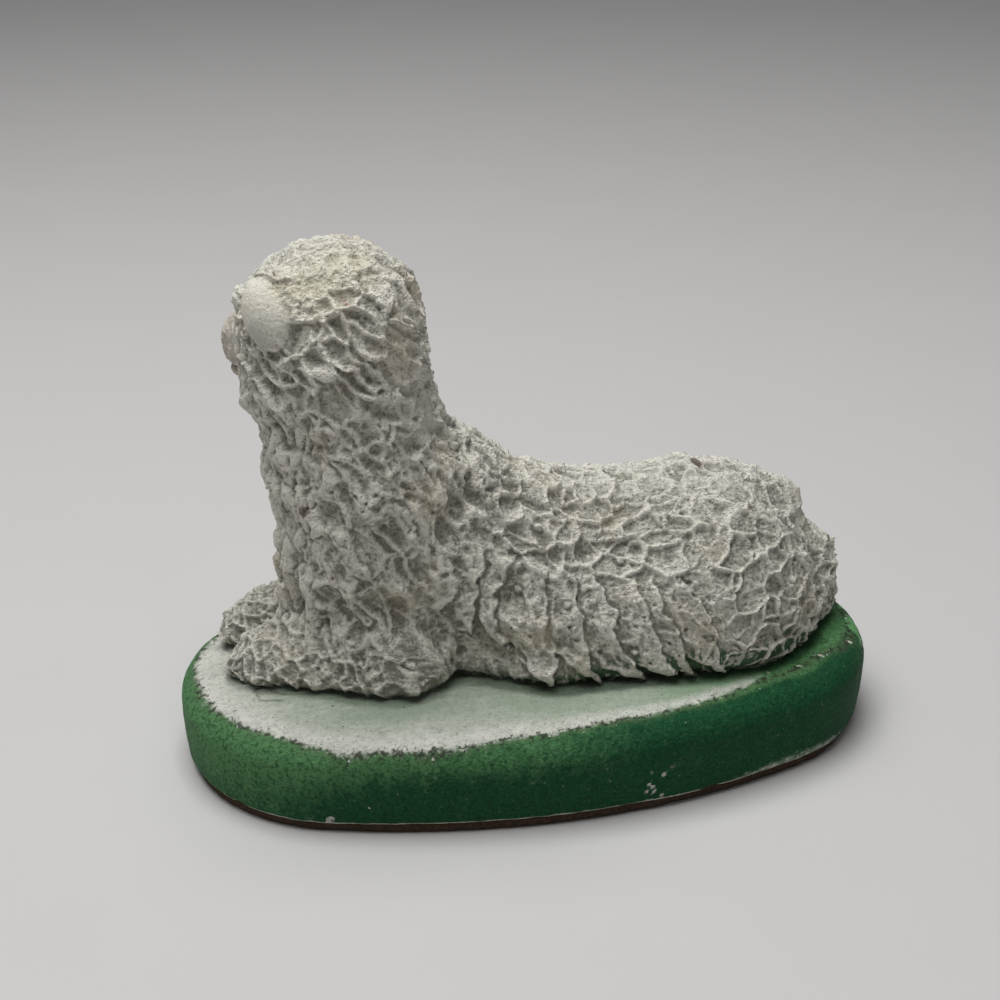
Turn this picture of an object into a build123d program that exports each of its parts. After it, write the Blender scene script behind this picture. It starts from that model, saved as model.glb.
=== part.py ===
import os
from math import cos, hypot, pi, radians, sin

from build123d import *

# A reclining sheep cast in plaster on an oval plinth, with its head turned to its right.
# Millimetres. +Z is up, the head lies towards -X and the sheep's left flank towards -Y.
# The origin is the middle of the underside. The casting is divided along its sculpted
# forms, and where two forms meet, the smaller one is cut to the face of the larger one.
# The barrel and the neck are made smooth first, and their fleece is scooped out at the end.

# Oval plinth and the pad under it
plinth_length = 100.0
plinth_width = 57.0
plinth_side_bulge = 4.5
wall_height = 8.0
wall_lean = 0.7
shoulder_radius = 3.6
dome_rise = 1.64
dome_run = 13.0
foot_bevel = 0.4
pad_thickness = 1.5
pad_inset = 1.2

# Barrel: the trunk of the body, a dome that is widest where it meets the plinth
barrel_forward = 21.0
barrel_length = 66.0
barrel_width = 35.0
barrel_height = 23.5
barrel_root_depth = 6.0

# Haunches: the folded hind legs, one on each side of the rump
haunch_back = 24.0
haunch_spread = 7.5
haunch_length = 32.0
haunch_width = 20.0
haunch_height = 32.0
haunch_rise = 4.0

# Tail: a short lobe at the rear
tail_back = 41.2
tail_length = 12.0
tail_width = 14.0
tail_height = 15.0
tail_rise = 5.0

# Neck: the upright woolly neck with the chest below it
neck_forward = 23.5
neck_y = 1.0
neck_depth = 29.0
neck_width = 28.5
neck_height = 44.0
neck_root_depth = 4.0

# Head: the skull with its woolly crown, turned to the sheep's right and dipped a little
head_forward = 26.9
head_y = 1.5
head_rise = 48.0
head_length = 27.0
head_width = 23.0
head_height = 24.0
head_turn = 50.0
head_dip = 14.0

# Muzzle: from the middle of the head out to the nose
muzzle_reach = 18.5
muzzle_width = 10.5
muzzle_height = 11.5
muzzle_drop = 1.5

# Ears: oval flaps that hang beside the cheeks and flare out at the tip
ear_length = 11.5
ear_width = 8.6
ear_thickness = 5.5
ear_out = 9.8
ear_forward = 0.6
ear_rise = 5.0
ear_flare = 8.0

# Forelegs: stretched out below the chest, from the elbow to the hoof
elbow_forward = 21.2
elbow_spread = 8.8
elbow_width = 15.0
elbow_height = 22.0
hoof_forward = 43.0
left_hoof_y = 0.5
right_hoof_y = 8.5
hoof_width = 10.0
hoof_height = 10.2

# Fleece: round hollows scooped between the locks of wool on the barrel and the neck
lock_spacing = 7.0
lock_depth = 1.0
lock_scoop_radius = 6.0

# Each section of the barrel: its share of the length, of the width and of the height
barrel_form = (
    (0.00, 0.36, 1.05),
    (0.10, 0.55, 1.27),
    (0.19, 0.78, 1.31),
    (0.29, 0.97, 1.16),
    (0.41, 1.00, 1.04),
    (0.55, 0.97, 1.00),
    (0.70, 0.88, 1.02),
    (0.80, 0.74, 0.95),
    (0.89, 0.52, 0.79),
    (0.96, 0.30, 0.55),
    (1.00, 0.10, 0.36),
)
# Each section of the neck: its share of the height, depth and width, and how far back it lies
neck_form = (
    (0.00, 0.72, 0.66, 0.10),
    (0.20, 0.97, 0.86, 0.09),
    (0.42, 1.00, 0.98, 0.08),
    (0.62, 0.97, 1.00, 0.035),
    (0.82, 0.85, 0.94, -0.05),
    (1.00, 0.775, 0.84, -0.097),
)
# Each section of the muzzle: its share of the reach and of the thickness
muzzle_form = (
    (0.20, 1.25),
    (0.45, 1.15),
    (0.66, 1.00),
    (0.84, 0.86),
    (0.95, 0.62),
    (1.00, 0.34),
)
# Each section of a foreleg: its share of the way from elbow to hoof and of the thickness there
foreleg_form = (
    (-0.30, 0.55),
    (-0.18, 0.85),
    (0.05, 1.00),
    (0.35, 1.00),
    (0.62, 1.00),
    (0.82, 0.92),
    (0.94, 0.68),
    (1.00, 0.36),
)
# Sections of a rounded form, from its rear to its front
round_form = (-0.97, -0.80, -0.45, 0.0, 0.45, 0.80, 0.97)
# Sections of the plinth's wall, of its rounded shoulder, in degrees, and of the dome inside it
wall_shares = (0, 0.5, 1)
shoulder_turns = (0, 32, 64)
dome_shares = (0, 0.5, 1)
# Rows of locks along the barrel, in degrees down from its back on either side
barrel_lock_turns = (-73, -58, -42, -23, 0, 23, 42, 58, 73)
# Locks in each ring round the neck, and the rise from ring to ring as a share of the spacing
neck_ring_locks = 12
ring_share = 0.87

plinth_bottom = pad_thickness
plinth_end_radius = plinth_width / 2 - plinth_side_bulge
wall_top = plinth_bottom + wall_height
shoulder_inset = shoulder_radius * (1 - cos(radians(shoulder_turns[-1])))
shoulder_top = wall_top + shoulder_radius * sin(radians(shoulder_turns[-1]))
seat = shoulder_top + dome_rise

# The head's own directions: forwards to the nose, out to its left, and up through the crown
turn = radians(head_turn)
dip = radians(head_dip)
head_middle = Vector(-head_forward, head_y, seat + head_rise)
facing = Vector(-cos(turn) * cos(dip), sin(turn) * cos(dip), -sin(dip))
head_left = Vector(-sin(turn), -cos(turn), 0)
crown = facing.cross(head_left)
upright = Vector(0, 0, 1)


def oval(inset):
    """Outline of the plinth moved inwards: two end arcs and two long side arcs, tangent where they meet."""
    reach = plinth_length / 2 - plinth_end_radius
    half = plinth_width / 2
    side_radius = (reach**2 + half**2 - plinth_end_radius**2) / (2 * (half - plinth_end_radius))
    lean = hypot(reach, side_radius - half)
    end = plinth_end_radius - inset
    join_x = reach + end * reach / lean
    join_y = end * (side_radius - half) / lean
    tip = plinth_length / 2 - inset
    with BuildSketch() as outline:
        with BuildLine():
            ThreePointArc((join_x, -join_y), (tip, 0), (join_x, join_y))
            ThreePointArc((join_x, join_y), (0, half - inset), (-join_x, join_y))
            ThreePointArc((-join_x, join_y), (-tip, 0), (-join_x, -join_y))
            ThreePointArc((-join_x, -join_y), (0, inset - half), (join_x, -join_y))
        make_face()
    return outline.sketch


def egg(middle, forward, up, length, width, height):
    """Sections of an egg-shaped form, from its rear to its front: plane, half width and half height."""
    frame = Plane(origin=middle, x_dir=up.cross(forward), z_dir=forward)
    sections = []
    for share in round_form:
        swell = (1 - share**2) ** 0.5
        sections.append((frame.offset(share * length / 2), swell * width / 2, swell * height / 2))
    return sections


def ear_sections(out):
    """Sections of an ear, from its root beside the crown down to its tip."""
    flare = radians(ear_flare)
    hang = out * sin(flare) - upright * cos(flare)
    middle = head_middle + out * ear_out + facing * ear_forward + upright * ear_rise
    return egg(middle, hang, facing, ear_length, ear_thickness, ear_width)


def foreleg_sections(side, hoof_y):
    """Sections of a foreleg, from inside the shoulder past the elbow to the tip of the hoof."""
    elbow = Vector(-elbow_forward, neck_y + side * elbow_spread, seat)
    run = Vector(-hoof_forward, hoof_y, seat) - elbow
    forward = run.normalized()
    frame = Plane(origin=elbow, x_dir=upright.cross(forward), z_dir=forward)
    sections = []
    for along, swell in foreleg_form:
        taper = min(max(along, 0), 1)
        width = elbow_width + (hoof_width - elbow_width) * taper
        height = elbow_height + (hoof_height - elbow_height) * taper
        sections.append((frame.offset(along * run.length), swell * width / 2, swell * height / 2))
    return sections


def barrel_lock_marks():
    """Marks held off the barrel, one for each lock: staggered rows along the body."""
    across = barrel_width / 2 + lock_spacing
    tall = barrel_height + barrel_root_depth / 2 + lock_spacing
    marks = []
    for row, degrees in enumerate(barrel_lock_turns):
        lean = radians(degrees)
        height = tall * cos(lean) - barrel_root_depth / 2
        for step in range(int(barrel_length / lock_spacing)):
            along = (step + row % 2 / 2) * lock_spacing - barrel_forward
            marks.append(Vector(along, across * sin(lean), seat + height))
    return marks


def neck_lock_marks():
    """Marks held off the neck, one for each lock: staggered rings, one above the other."""
    deep = neck_depth / 2 + lock_spacing
    across = neck_width / 2 + lock_spacing
    ring_rise = lock_spacing * ring_share
    marks = []
    for ring in range(int(neck_height / ring_rise)):
        for step in range(neck_ring_locks):
            lean = 2 * pi * (step + ring % 2 / 2) / neck_ring_locks
            middle = Vector(-neck_forward, neck_y, seat + ring * ring_rise)
            marks.append(middle + Vector(deep * cos(lean), across * sin(lean), 0))
    return marks


def scoop_centres(form, marks, meeting):
    """Centres of the scoops: each mark is carried square onto the form, clear of the forms that meet it."""
    centres = []
    for mark in marks:
        foot = form.part.distance_to_with_closest_points(mark)[1]
        outward = (mark - foot).normalized()
        if all(other.part.distance_to(foot) > lock_spacing / 2 for other in meeting):
            centres.append(foot + outward * (lock_scoop_radius - lock_depth))
    return centres


with BuildPart() as base_pad:
    with BuildSketch():
        add(oval(pad_inset))
    extrude(amount=pad_thickness)

with BuildPart() as plinth:
    for share in wall_shares:
        with BuildSketch(Plane.XY.offset(plinth_bottom + wall_height * share)):
            add(oval(wall_lean * (1 - share) ** 2))
    loft()
    chamfer(plinth.edges().group_by(Axis.Z)[0], length=foot_bevel)
    for angle in shoulder_turns:
        bend = radians(angle)
        with BuildSketch(Plane.XY.offset(wall_top + shoulder_radius * sin(bend))):
            add(oval(shoulder_radius * (1 - cos(bend))))
    loft()
    for share in dome_shares:
        with BuildSketch(Plane.XY.offset(shoulder_top + dome_rise * share * (2 - share))):
            add(oval(shoulder_inset + share * dome_run))
    loft()

with BuildPart() as smooth_barrel:
    for along, width, height in barrel_form:
        top = height * barrel_height
        bottom = -barrel_root_depth - barrel_height
        middle = (along * barrel_length - barrel_forward, 0, seat + (top + bottom) / 2)
        with BuildSketch(Plane(origin=middle, x_dir=(0, 1, 0), z_dir=(1, 0, 0))):
            Ellipse(width * barrel_width / 2, (top - bottom) / 2)
    loft()
    split(bisect_by=Plane.XY.offset(wall_top))
    add(plinth.part, mode=Mode.SUBTRACT)

with BuildPart() as smooth_neck:
    for rise, depth, width, back in neck_form:
        height = rise * (neck_height + neck_root_depth) - neck_root_depth
        with BuildSketch(Plane.XY.offset(seat + height)):
            with Locations((back * neck_depth - neck_forward, neck_y)):
                Ellipse(depth * neck_depth / 2, width * neck_width / 2)
    loft()
    for larger in (plinth, smooth_barrel):
        add(larger.part, mode=Mode.SUBTRACT)

with BuildPart() as head:
    for plane, across, tall in egg(head_middle, facing, crown, head_length, head_width, head_height):
        with BuildSketch(plane):
            Ellipse(across, tall)
    loft()
    add(smooth_neck.part, mode=Mode.SUBTRACT)

with BuildPart() as muzzle:
    muzzle_root = Plane(origin=head_middle - crown * muzzle_drop, x_dir=crown.cross(facing), z_dir=facing)
    for along, swell in muzzle_form:
        with BuildSketch(muzzle_root.offset(along * muzzle_reach)):
            Ellipse(swell * muzzle_width / 2, swell * muzzle_height / 2)
    loft()
    for larger in (head, smooth_neck):
        add(larger.part, mode=Mode.SUBTRACT)

ears = []
for out in (head_left, -head_left):
    with BuildPart() as ear:
        for plane, across, tall in ear_sections(out):
            with BuildSketch(plane):
                Ellipse(across, tall)
        loft()
        for larger in (head, smooth_neck, muzzle):
            add(larger.part, mode=Mode.SUBTRACT)
    ears.append(ear)

forelegs = []
for side, hoof_y in ((-1, left_hoof_y), (1, right_hoof_y)):
    with BuildPart() as foreleg:
        for plane, across, tall in foreleg_sections(side, hoof_y):
            with BuildSketch(plane):
                Ellipse(across, tall)
        loft()
        split(bisect_by=Plane.XY.offset(wall_top))
        for larger in (plinth, smooth_barrel, smooth_neck, *forelegs):
            add(larger.part, mode=Mode.SUBTRACT)
    forelegs.append(foreleg)

haunches = []
for side in (-1, 1):
    haunch_middle = Vector(haunch_back, side * haunch_spread, seat + haunch_rise)
    with BuildPart() as haunch:
        for plane, across, tall in egg(
            haunch_middle, Vector(1, 0, 0), upright, haunch_length, haunch_width, haunch_height
        ):
            with BuildSketch(plane):
                Ellipse(across, tall)
        loft()
        split(bisect_by=Plane.XY.offset(wall_top))
        for larger in (plinth, smooth_barrel):
            add(larger.part, mode=Mode.SUBTRACT)
    haunches.append(haunch)

tail_middle = Vector(tail_back, 0, seat + tail_rise)
with BuildPart() as tail:
    for plane, across, tall in egg(
        tail_middle, Vector(1, 0, 0), upright, tail_length, tail_width, tail_height
    ):
        with BuildSketch(plane):
            Ellipse(across, tall)
    loft()
    split(bisect_by=Plane.XY.offset(wall_top))
    for larger in (plinth, smooth_barrel, *haunches):
        add(larger.part, mode=Mode.SUBTRACT)

# The fleece is carved last, where no other form meets the barrel or the neck
with BuildPart() as barrel:
    add(smooth_barrel.part)
    meeting = (plinth, smooth_neck, *forelegs, *haunches, tail)
    with Locations(*scoop_centres(smooth_barrel, barrel_lock_marks(), meeting)):
        Sphere(lock_scoop_radius, mode=Mode.SUBTRACT)

with BuildPart() as neck:
    add(smooth_neck.part)
    meeting = (plinth, smooth_barrel, head, muzzle, *ears, *forelegs)
    with Locations(*scoop_centres(smooth_neck, neck_lock_marks(), meeting)):
        Sphere(lock_scoop_radius, mode=Mode.SUBTRACT)

pieces = {
    "base_pad": base_pad,
    "plinth": plinth,
    "barrel": barrel,
    "left_haunch": haunches[0],
    "right_haunch": haunches[1],
    "tail": tail,
    "neck": neck,
    "left_foreleg": forelegs[0],
    "right_foreleg": forelegs[1],
    "head": head,
    "muzzle": muzzle,
    "left_ear": ears[0],
    "right_ear": ears[1],
}

os.makedirs("parts", exist_ok=True)
for name, piece in pieces.items():
    piece.part.label = name
    export_step(piece.part, f"parts/{name}.step")
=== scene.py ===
"""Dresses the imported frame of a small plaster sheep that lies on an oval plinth.

Shapes are worked out in millimetres in the CAD frame: +Z up, the head towards -X, the sheep's left flank
towards -Y. Every face is a grid of rays from a form's middle line, and the fleece is a relief in space, so
that neighbouring pieces carry the same locks up to the line where they meet. A pair of values in a table
is a range: a change grows from the first value to the second.
"""
import itertools
from collections import namedtuple
from math import cos, pi, radians, sin
from types import SimpleNamespace

import bpy
import numpy as np
from bpy.props import FloatProperty, FloatVectorProperty, PointerProperty
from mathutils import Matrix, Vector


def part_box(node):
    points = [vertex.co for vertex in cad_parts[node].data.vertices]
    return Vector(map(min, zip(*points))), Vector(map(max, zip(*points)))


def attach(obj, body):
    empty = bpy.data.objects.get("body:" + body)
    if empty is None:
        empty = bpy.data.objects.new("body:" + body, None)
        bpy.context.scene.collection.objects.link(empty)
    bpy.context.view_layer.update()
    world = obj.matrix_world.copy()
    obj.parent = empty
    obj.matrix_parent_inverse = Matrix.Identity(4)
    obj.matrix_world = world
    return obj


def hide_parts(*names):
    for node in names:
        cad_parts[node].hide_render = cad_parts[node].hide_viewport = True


bl_info = {
    "name": "Plaster sheep",
    "version": (1, 0, 0),
    "blender": (4, 5, 0),
    "location": "View3D > Sidebar > Sheep",
    "description": "Dresses a reclining plaster sheep on an oval plinth around its CAD frame",
    "category": "Object",
}

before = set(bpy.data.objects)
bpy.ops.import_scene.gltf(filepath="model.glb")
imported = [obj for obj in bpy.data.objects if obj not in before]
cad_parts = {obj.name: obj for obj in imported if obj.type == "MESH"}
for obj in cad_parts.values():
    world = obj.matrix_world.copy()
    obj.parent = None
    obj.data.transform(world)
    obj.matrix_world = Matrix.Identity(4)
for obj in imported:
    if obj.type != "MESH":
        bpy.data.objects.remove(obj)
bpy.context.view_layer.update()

MM = 0.001
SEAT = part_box("plinth")[1].z / MM
PAD_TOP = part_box("base_pad")[1].z / MM
HALF_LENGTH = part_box("plinth")[1].x / MM
HALF_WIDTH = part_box("plinth")[1].y / MM
ON_SEAT = np.array((0, 0, SEAT))
ROOT_DEPTH = 4.6
ROOT_PLANE = SEAT - ROOT_DEPTH
UP = (0, 0, 1)
SIDES = (("left", -1), ("right", 1))
FAR = 9e9


# Properties


def span(name, text, mm):
    """A length property, with its default given in millimetres."""
    return FloatProperty(name=name, description=text, default=mm * MM, unit="LENGTH", precision=5)


def spot(name, text, *mm):
    """A place or a set of three sizes, with its default given in millimetres."""
    return FloatVectorProperty(
        name=name, description=text, default=[v * MM for v in mm], subtype="XYZ", unit="LENGTH", precision=5
    )


def tint(name, text, *rgb):
    """A colour property, linear red, green and blue."""
    return FloatVectorProperty(name=name, description=text, default=rgb, subtype="COLOR", min=0, max=1)


def turned(name, text, degrees):
    """An angle property, with its default given in degrees."""
    return FloatProperty(name=name, description=text, default=radians(degrees), subtype="ANGLE")


class SheepForms(bpy.types.PropertyGroup):
    """Places and sizes of the forms"""

    barrel_width: span("Barrel width", "Width of the trunk at its widest", 35)
    barrel_height: span("Barrel height", "Height of the back above the plinth", 23.5)
    barrel_depth: span("Barrel depth", "How far the trunk's ovals reach below the plinth's top", 29.5)
    haunch_place: spot("Haunch place", "Middle of the right haunch, above the plinth's top", 24, 7.5, 4)
    haunch_size: spot("Haunch size", "Length, width and height of a haunch", 32, 20, 32)
    tail_place: spot("Tail place", "Middle of the tail, above the plinth's top", 41.2, 0, 5)
    tail_size: spot("Tail size", "Length, width and height of the tail", 12, 14, 15)
    neck_place: spot("Neck place", "Foot of the neck's middle line, above the plinth's top", -23.5, 1, -4)
    neck_size: spot("Neck size", "Depth, width and height of the neck", 29, 28.5, 48)
    head_place: spot("Head place", "Middle of the head, above the plinth's top", -26.9, 1.5, 48)
    head_size: spot("Head size", "Length, width and height of the head", 27, 23, 24)
    head_turn: turned("Head turn", "Turn of the head to the sheep's right", 50)
    head_dip: turned("Head dip", "Downward tilt of the face", 14)
    muzzle_size: spot("Muzzle size", "Reach from the head's middle, width and height", 18.5, 10.5, 11.5)
    muzzle_drop: span("Muzzle drop", "How far the muzzle lies below the middle of the head", 1.5)
    ear_size: spot("Ear size", "Length, thickness and width of an ear", 11.5, 5.5, 8.6)
    ear_place: spot("Ear place", "Out from, forward of and above the middle of the head", 9.8, 0.6, 5)
    ear_flare: turned("Ear flare", "How far an ear's tip stands out from the cheek", 8)
    elbow_place: spot("Elbow place", "Right elbow: x, out from the neck, and half its height", -21.2, 8.8, 11)
    left_hoof: spot("Left hoof", "Tip of the left foreleg, above the plinth's top", -43, 0.5, 0)
    right_hoof: spot("Right hoof", "Tip of the right foreleg, above the plinth's top", -43, 8.5, 0)
    elbow_width: span("Elbow width", "Width of a foreleg at the elbow", 15)
    hoof_width: span("Hoof width", "Width of a foreleg at the hoof", 10)
    hoof_height: span("Hoof height", "Height of a foreleg's oval at the hoof", 10.2)
    side_bulge: span("Plinth side bulge", "How far the plinth's long sides bow out", 4.5)
    shoulder_radius: span("Shoulder radius", "Radius of the plinth's rounded shoulder", 3.6)
    wall_height: span("Wall height", "Height of the plinth's wall", 8)
    wall_lean: span("Wall lean", "How far the wall draws in towards its foot", 0.7)
    dome_run: span("Dome run", "How far inside the shoulder the plinth's top keeps rising", 13)


class SheepRelief(bpy.types.PropertyGroup):
    """Sizes of the fleece's relief"""

    hollow_spacing: span("Hollow spacing", "Spacing of the hollows between the main locks", 7)
    hollow_depth: span("Hollow depth", "Depth of those hollows", 1)
    hollow_radius: span("Hollow radius", "Radius of the round scoop that makes them", 6)
    ridge: span("Ridge height", "Height of the ridges between the small locks", 0.58)
    ridge_width: span("Ridge width", "Half width of those ridges", 0.23)
    scoop: span("Scoop depth", "Depth of the hollow in each small lock", 0.46)
    step: span("Lock step", "Height of the step where one lock overlaps the next", 0.60)
    lock_length: span("Lock length", "Length of a lock along the back", 4.6)
    neck_lock: span("Neck lock", "Size of the curls on the neck", 2.5)
    rump_lock: span("Rump lock", "Size of the cells of fleece on the rump", 3.1)
    hang_pitch: span("Hanging lock width", "Width of the long locks on the lower flank", 5.2)
    hang_step: span("Hanging lock step", "Height of the step from one long lock to the next", 0.86)
    lump: span("Lump height", "Height of the broad unevenness of the casting", 0.28)
    pinhole: span("Pinhole depth", "Depth of the pinholes left by air in the plaster", 0.38)


class SheepPaint(bpy.types.PropertyGroup):
    """Colours of plaster, paint and felt"""

    # Ridge and hollow plaster: the pale ridges carry painted highlight, the greyed hollows grime and painted
    # shade
    ridge: tint("Ridge plaster", "Plaster on the ridges of the fleece", 0.765, 0.74, 0.655)
    hollow: tint("Hollow plaster", "Greyed plaster in the hollows of the fleece", 0.50, 0.485, 0.415)
    rust: tint("Rust", "Reddish trace on the crown", 0.34, 0.13, 0.09)
    soil: tint("Soil", "Brown specks and traces", 0.11, 0.07, 0.04)
    # Contact: dark green line where the fleece meets the plinth, paint and painted shade
    contact_shade: tint("Contact", "Dark line where the fleece meets the plinth", 0.05, 0.075, 0.045)
    blush: tint("Blush", "Faded pink of the nose and mouth", 0.42, 0.35, 0.29)
    green: tint("Green paint", "Green of the plinth where it is thin", 0.10, 0.25, 0.10)
    deep: tint("Deep green paint", "Green of the plinth where it is thick", 0.011, 0.076, 0.030)
    brink: tint("Brink", "Dirty edge of the green paint", 0.11, 0.14, 0.075)
    bare: tint("Bare plaster", "Worn plaster of the plinth", 0.76, 0.76, 0.69)
    # Haze: grey-green dust, laid thicker near the sheep as painted shade
    haze: tint("Haze", "Grey-green dust on the plinth's top", 0.40, 0.44, 0.365)
    dots: tint("Dots", "Grey dots on the bare plaster", 0.2, 0.21, 0.17)
    soot: tint("Soot", "Black specks on the plinth", 0.035, 0.04, 0.028)
    # Crevice: green paint gathered where the sheep meets the plinth, darkened further as painted shade
    crevice_paint_and_shade: tint("Crevice", "Paint gathered where the sheep meets the plinth", 0.018, 0.045, 0.022)
    scratch: tint("Scratch", "Dirt in the scratched loop", 0.09, 0.09, 0.07)
    felt: tint("Felt", "Brown felt of the pad", 0.075, 0.05, 0.035)


class SheepStage(bpy.types.PropertyGroup):
    """Camera, floor and light"""

    camera: spot("Camera", "Where the camera stands", -61.6, -233.9, 144.0)
    pitch: turned("Camera pitch", "Downward tilt of the camera", 24.18)
    heading: turned("Camera heading", "Turn of the camera from +Y towards +X", 13.75)
    lens: FloatProperty(name="Lens", description="Focal length of the camera", default=68.4, unit="CAMERA")
    floor: tint("Floor", "Pale floor", 0.64, 0.63, 0.62)
    floor_reach: span("Floor reach", "How far the floor reaches from its middle", 4000)
    sky: tint("Sky", "Even light from all round", 0.12, 0.12, 0.123)
    overhead: FloatProperty(name="Overhead", description="Power of the soft lamp", default=3.6, unit="POWER")
    lamp_place: spot("Lamp place", "Where the soft lamp hangs", -90, 10, 600)
    lamp_aim: spot("Lamp aim", "Where the soft lamp points", 0, 0, 30)
    lamp_length: span("Lamp length", "Length of the soft lamp", 500)
    lamp_width: span("Lamp width", "Width of the soft lamp", 400)


def group(name):
    """One of this object's property groups."""
    return getattr(bpy.context.scene, "sheep_" + name)


def mm(value):
    """A property in millimetres: a number, or an array of three."""
    return np.array(value) / MM if hasattr(value, "__len__") else value / MM


# Numbers for whole arrays


def smooth(low, high, x):
    """Cubic step: 0 below low, 1 above high, level at both ends."""
    t = np.clip((x - low) / (high - low), 0, 1)
    return t * t * (3 - 2 * t)


def bell(x, half):
    """Bell curve: e to the power of minus the square of x over its half width."""
    return np.exp(-((x / half) ** 2))


def crest(x, half):
    """Crest with a sharper top than a bell: x over its half width is raised to 1.4 and not squared."""
    return np.exp(-((x / half) ** 1.4))


def length(v):
    """Length of each vector."""
    return np.sqrt((v * v).sum(-1))


def unit(v):
    """Each vector divided by its length."""
    return v / np.maximum(length(v), 1e-9)[..., None]


def eased(xs, ys, x):
    """Smooth line through the points (xs, ys): cubic pieces that take their slopes from the neighbours."""
    slant = np.gradient(ys, xs, axis=0)
    i = np.clip(np.searchsorted(xs, x) - 1, 0, len(xs) - 2)
    gap = xs[i + 1] - xs[i]
    t = (x - xs[i]) / gap
    if ys.ndim > 1:
        gap, t = gap[:, None], t[:, None]
    rise = ys[i] * (1 + 2 * t) * (1 - t) ** 2 + ys[i + 1] * t * t * (3 - 2 * t)
    return rise + gap * (slant[i] * t * (1 - t) ** 2 + slant[i + 1] * t * t * (t - 1))


def luck(cells, seed, count):
    """Random numbers from 0 to 1 for whole-number cells: indices mixed by odd factors and shifts."""
    n = np.full(cells.shape[:-1], 2654435769 * (seed + 1) % 2**32, np.uint32)
    for axis, factor in zip(range(cells.shape[-1]), (2246822519, 3266489917, 668265263)):
        n = (n ^ cells[..., axis].astype(np.int64).astype(np.uint32)) * np.uint32(factor)
        n ^= n >> np.uint32(15)
    drawn = []
    for _ in range(count):
        n = n * np.uint32(747796405) + np.uint32(2891336453)
        n ^= n >> np.uint32(16)
        drawn.append(n / 2**32)
    return np.stack(drawn, -1)


def redrawn(chance, factor):
    """A new chance from 0 to 1 out of one already drawn: what it times the factor has past a whole number."""
    return chance * factor % 1


def wool_noise(p, size, seed):
    """Smooth noise from -1 to 1: random corner values of a grid of cubes, eased between the corners."""
    q = p / size
    base = np.floor(q)
    t = q - base
    t = t * t * (3 - 2 * t)
    total = np.zeros(len(p))
    for corner in itertools.product((0, 1), repeat=3):
        share = np.prod(np.where(np.array(corner) == 1, t, 1 - t), axis=1)
        total += share * luck(base + corner, seed, 1)[:, 0]
    return total * 2 - 1


def layered(p, layers, shift=0):
    """Sum of smooth noises, each given by its height, its size and its seed, which is shifted."""
    return sum(height * wool_noise(p, size, seed + shift) for height, size, seed in layers)


def crags(q, seed):
    """Craggy noise about 0: crests where smooth noise passes zero, in three sizes, each half the last."""
    total = np.zeros(len(q))
    for octave in range(3):
        total += 0.6**octave * (0.6 - 2 * np.abs(wool_noise(q * 2**octave, 1.0, seed + octave)))
    return total


def nearest_seeds(q, seed, jitter=0.9):
    """Cells round scattered seeds, one in each unit square or cube.

    Gives the offsets from each point to its nearest and second nearest seed, and the luck of both.
    """
    size = q.shape[1]
    base = np.floor(q)
    first, second = np.full(len(q), FAR), np.full(len(q), FAR)
    near, after = np.zeros_like(q), np.zeros_like(q)
    mine, other = np.zeros(len(q)), np.zeros(len(q))
    for step in itertools.product((-1, 0, 1), repeat=size):
        cell = base + step
        drawn = luck(cell, seed, size + 1)
        offset = cell + 0.5 + jitter * (drawn[:, :size] - 0.5) - q
        reach = (offset * offset).sum(1)
        best = reach < first
        next_best = ~best & (reach < second)
        second = np.where(best, first, np.where(next_best, reach, second))
        after = np.where(best[:, None], near, np.where(next_best[:, None], offset, after))
        other = np.where(best, mine, np.where(next_best, drawn[:, size], other))
        first = np.where(best, reach, first)
        near = np.where(best[:, None], offset, near)
        mine = np.where(best, drawn[:, size], mine)
    return near, after, mine, other


def stretched(p, direction, size, pull):
    """Points in units of a cell that is pull times as long along one direction, and the cell's sizes."""
    along = unit(np.array(direction, float))
    side = unit(np.cross(along, (0.3, 1, 0.2)))
    axes = np.array((along, side, np.cross(along, side)))
    sizes = np.array((size * pull, size, size))
    return p @ axes.T / sizes, sizes


def slope(field, p):
    """Outward direction of a field: its differences across a small step, as a unit vector."""
    return unit(np.stack([field(p + e) - field(p - e) for e in np.eye(3) * 0.08], 1))


def spots(p, places):
    """How much of a stain lies at each point: the most of bells round places given by x, y, z and radius."""
    return np.max([bell(length(p - place), radius) for *place, radius in places], axis=0)


# Forms of the sheep

# Ovals of each form: share of its run, then the oval's sizes and shift as shares of the form's sizes
BARREL_FORM = (
    (0.00, 0.36, 1.05), (0.10, 0.55, 1.27), (0.19, 0.78, 1.31), (0.29, 0.97, 1.16), (0.41, 1.00, 1.04),
    (0.55, 0.97, 1.00), (0.70, 0.88, 1.02), (0.80, 0.74, 0.95), (0.89, 0.52, 0.79), (0.96, 0.30, 0.55),
    (1.00, 0.10, 0.36),
)
NECK_FORM = (
    (0.00, 0.72, 0.66, 0.10), (0.20, 0.97, 0.86, 0.09), (0.42, 1.00, 0.98, 0.08), (0.62, 0.97, 1.00, 0.035),
    (0.82, 0.85, 0.94, -0.05), (1.00, 0.775, 0.84, -0.097), (1.10, 0.66, 0.70, -0.11),
    (1.18, 0.40, 0.42, -0.11), (1.21, 0.05, 0.05, -0.11),
)
FORELEG_FORM = (
    (-0.30, 0.55), (-0.18, 0.85), (0.05, 1.00), (0.35, 1.00), (0.62, 1.00), (0.82, 0.92), (0.94, 0.68),
    (1.00, 0.36), (1.02, 0.05),
)
MUZZLE_FORM = (
    (0.20, 1.25), (0.45, 1.15), (0.66, 1.00), (0.84, 0.86), (0.95, 0.62), (1.00, 0.34), (1.02, 0.05)
)
# Forms in the order in which they join the barrel, each with the size of its fillet
JOINS = (
    ("left_haunch", 6.0), ("right_haunch", 6.0), ("tail", 3.0), ("neck", 8.0), ("left_foreleg", 3.5),
    ("right_foreleg", 3.5), ("head", 4.5), ("muzzle", 3.0), ("left_ear", 1.8), ("right_ear", 1.8),
)
SHOULDER_TURN = radians(64)


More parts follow.
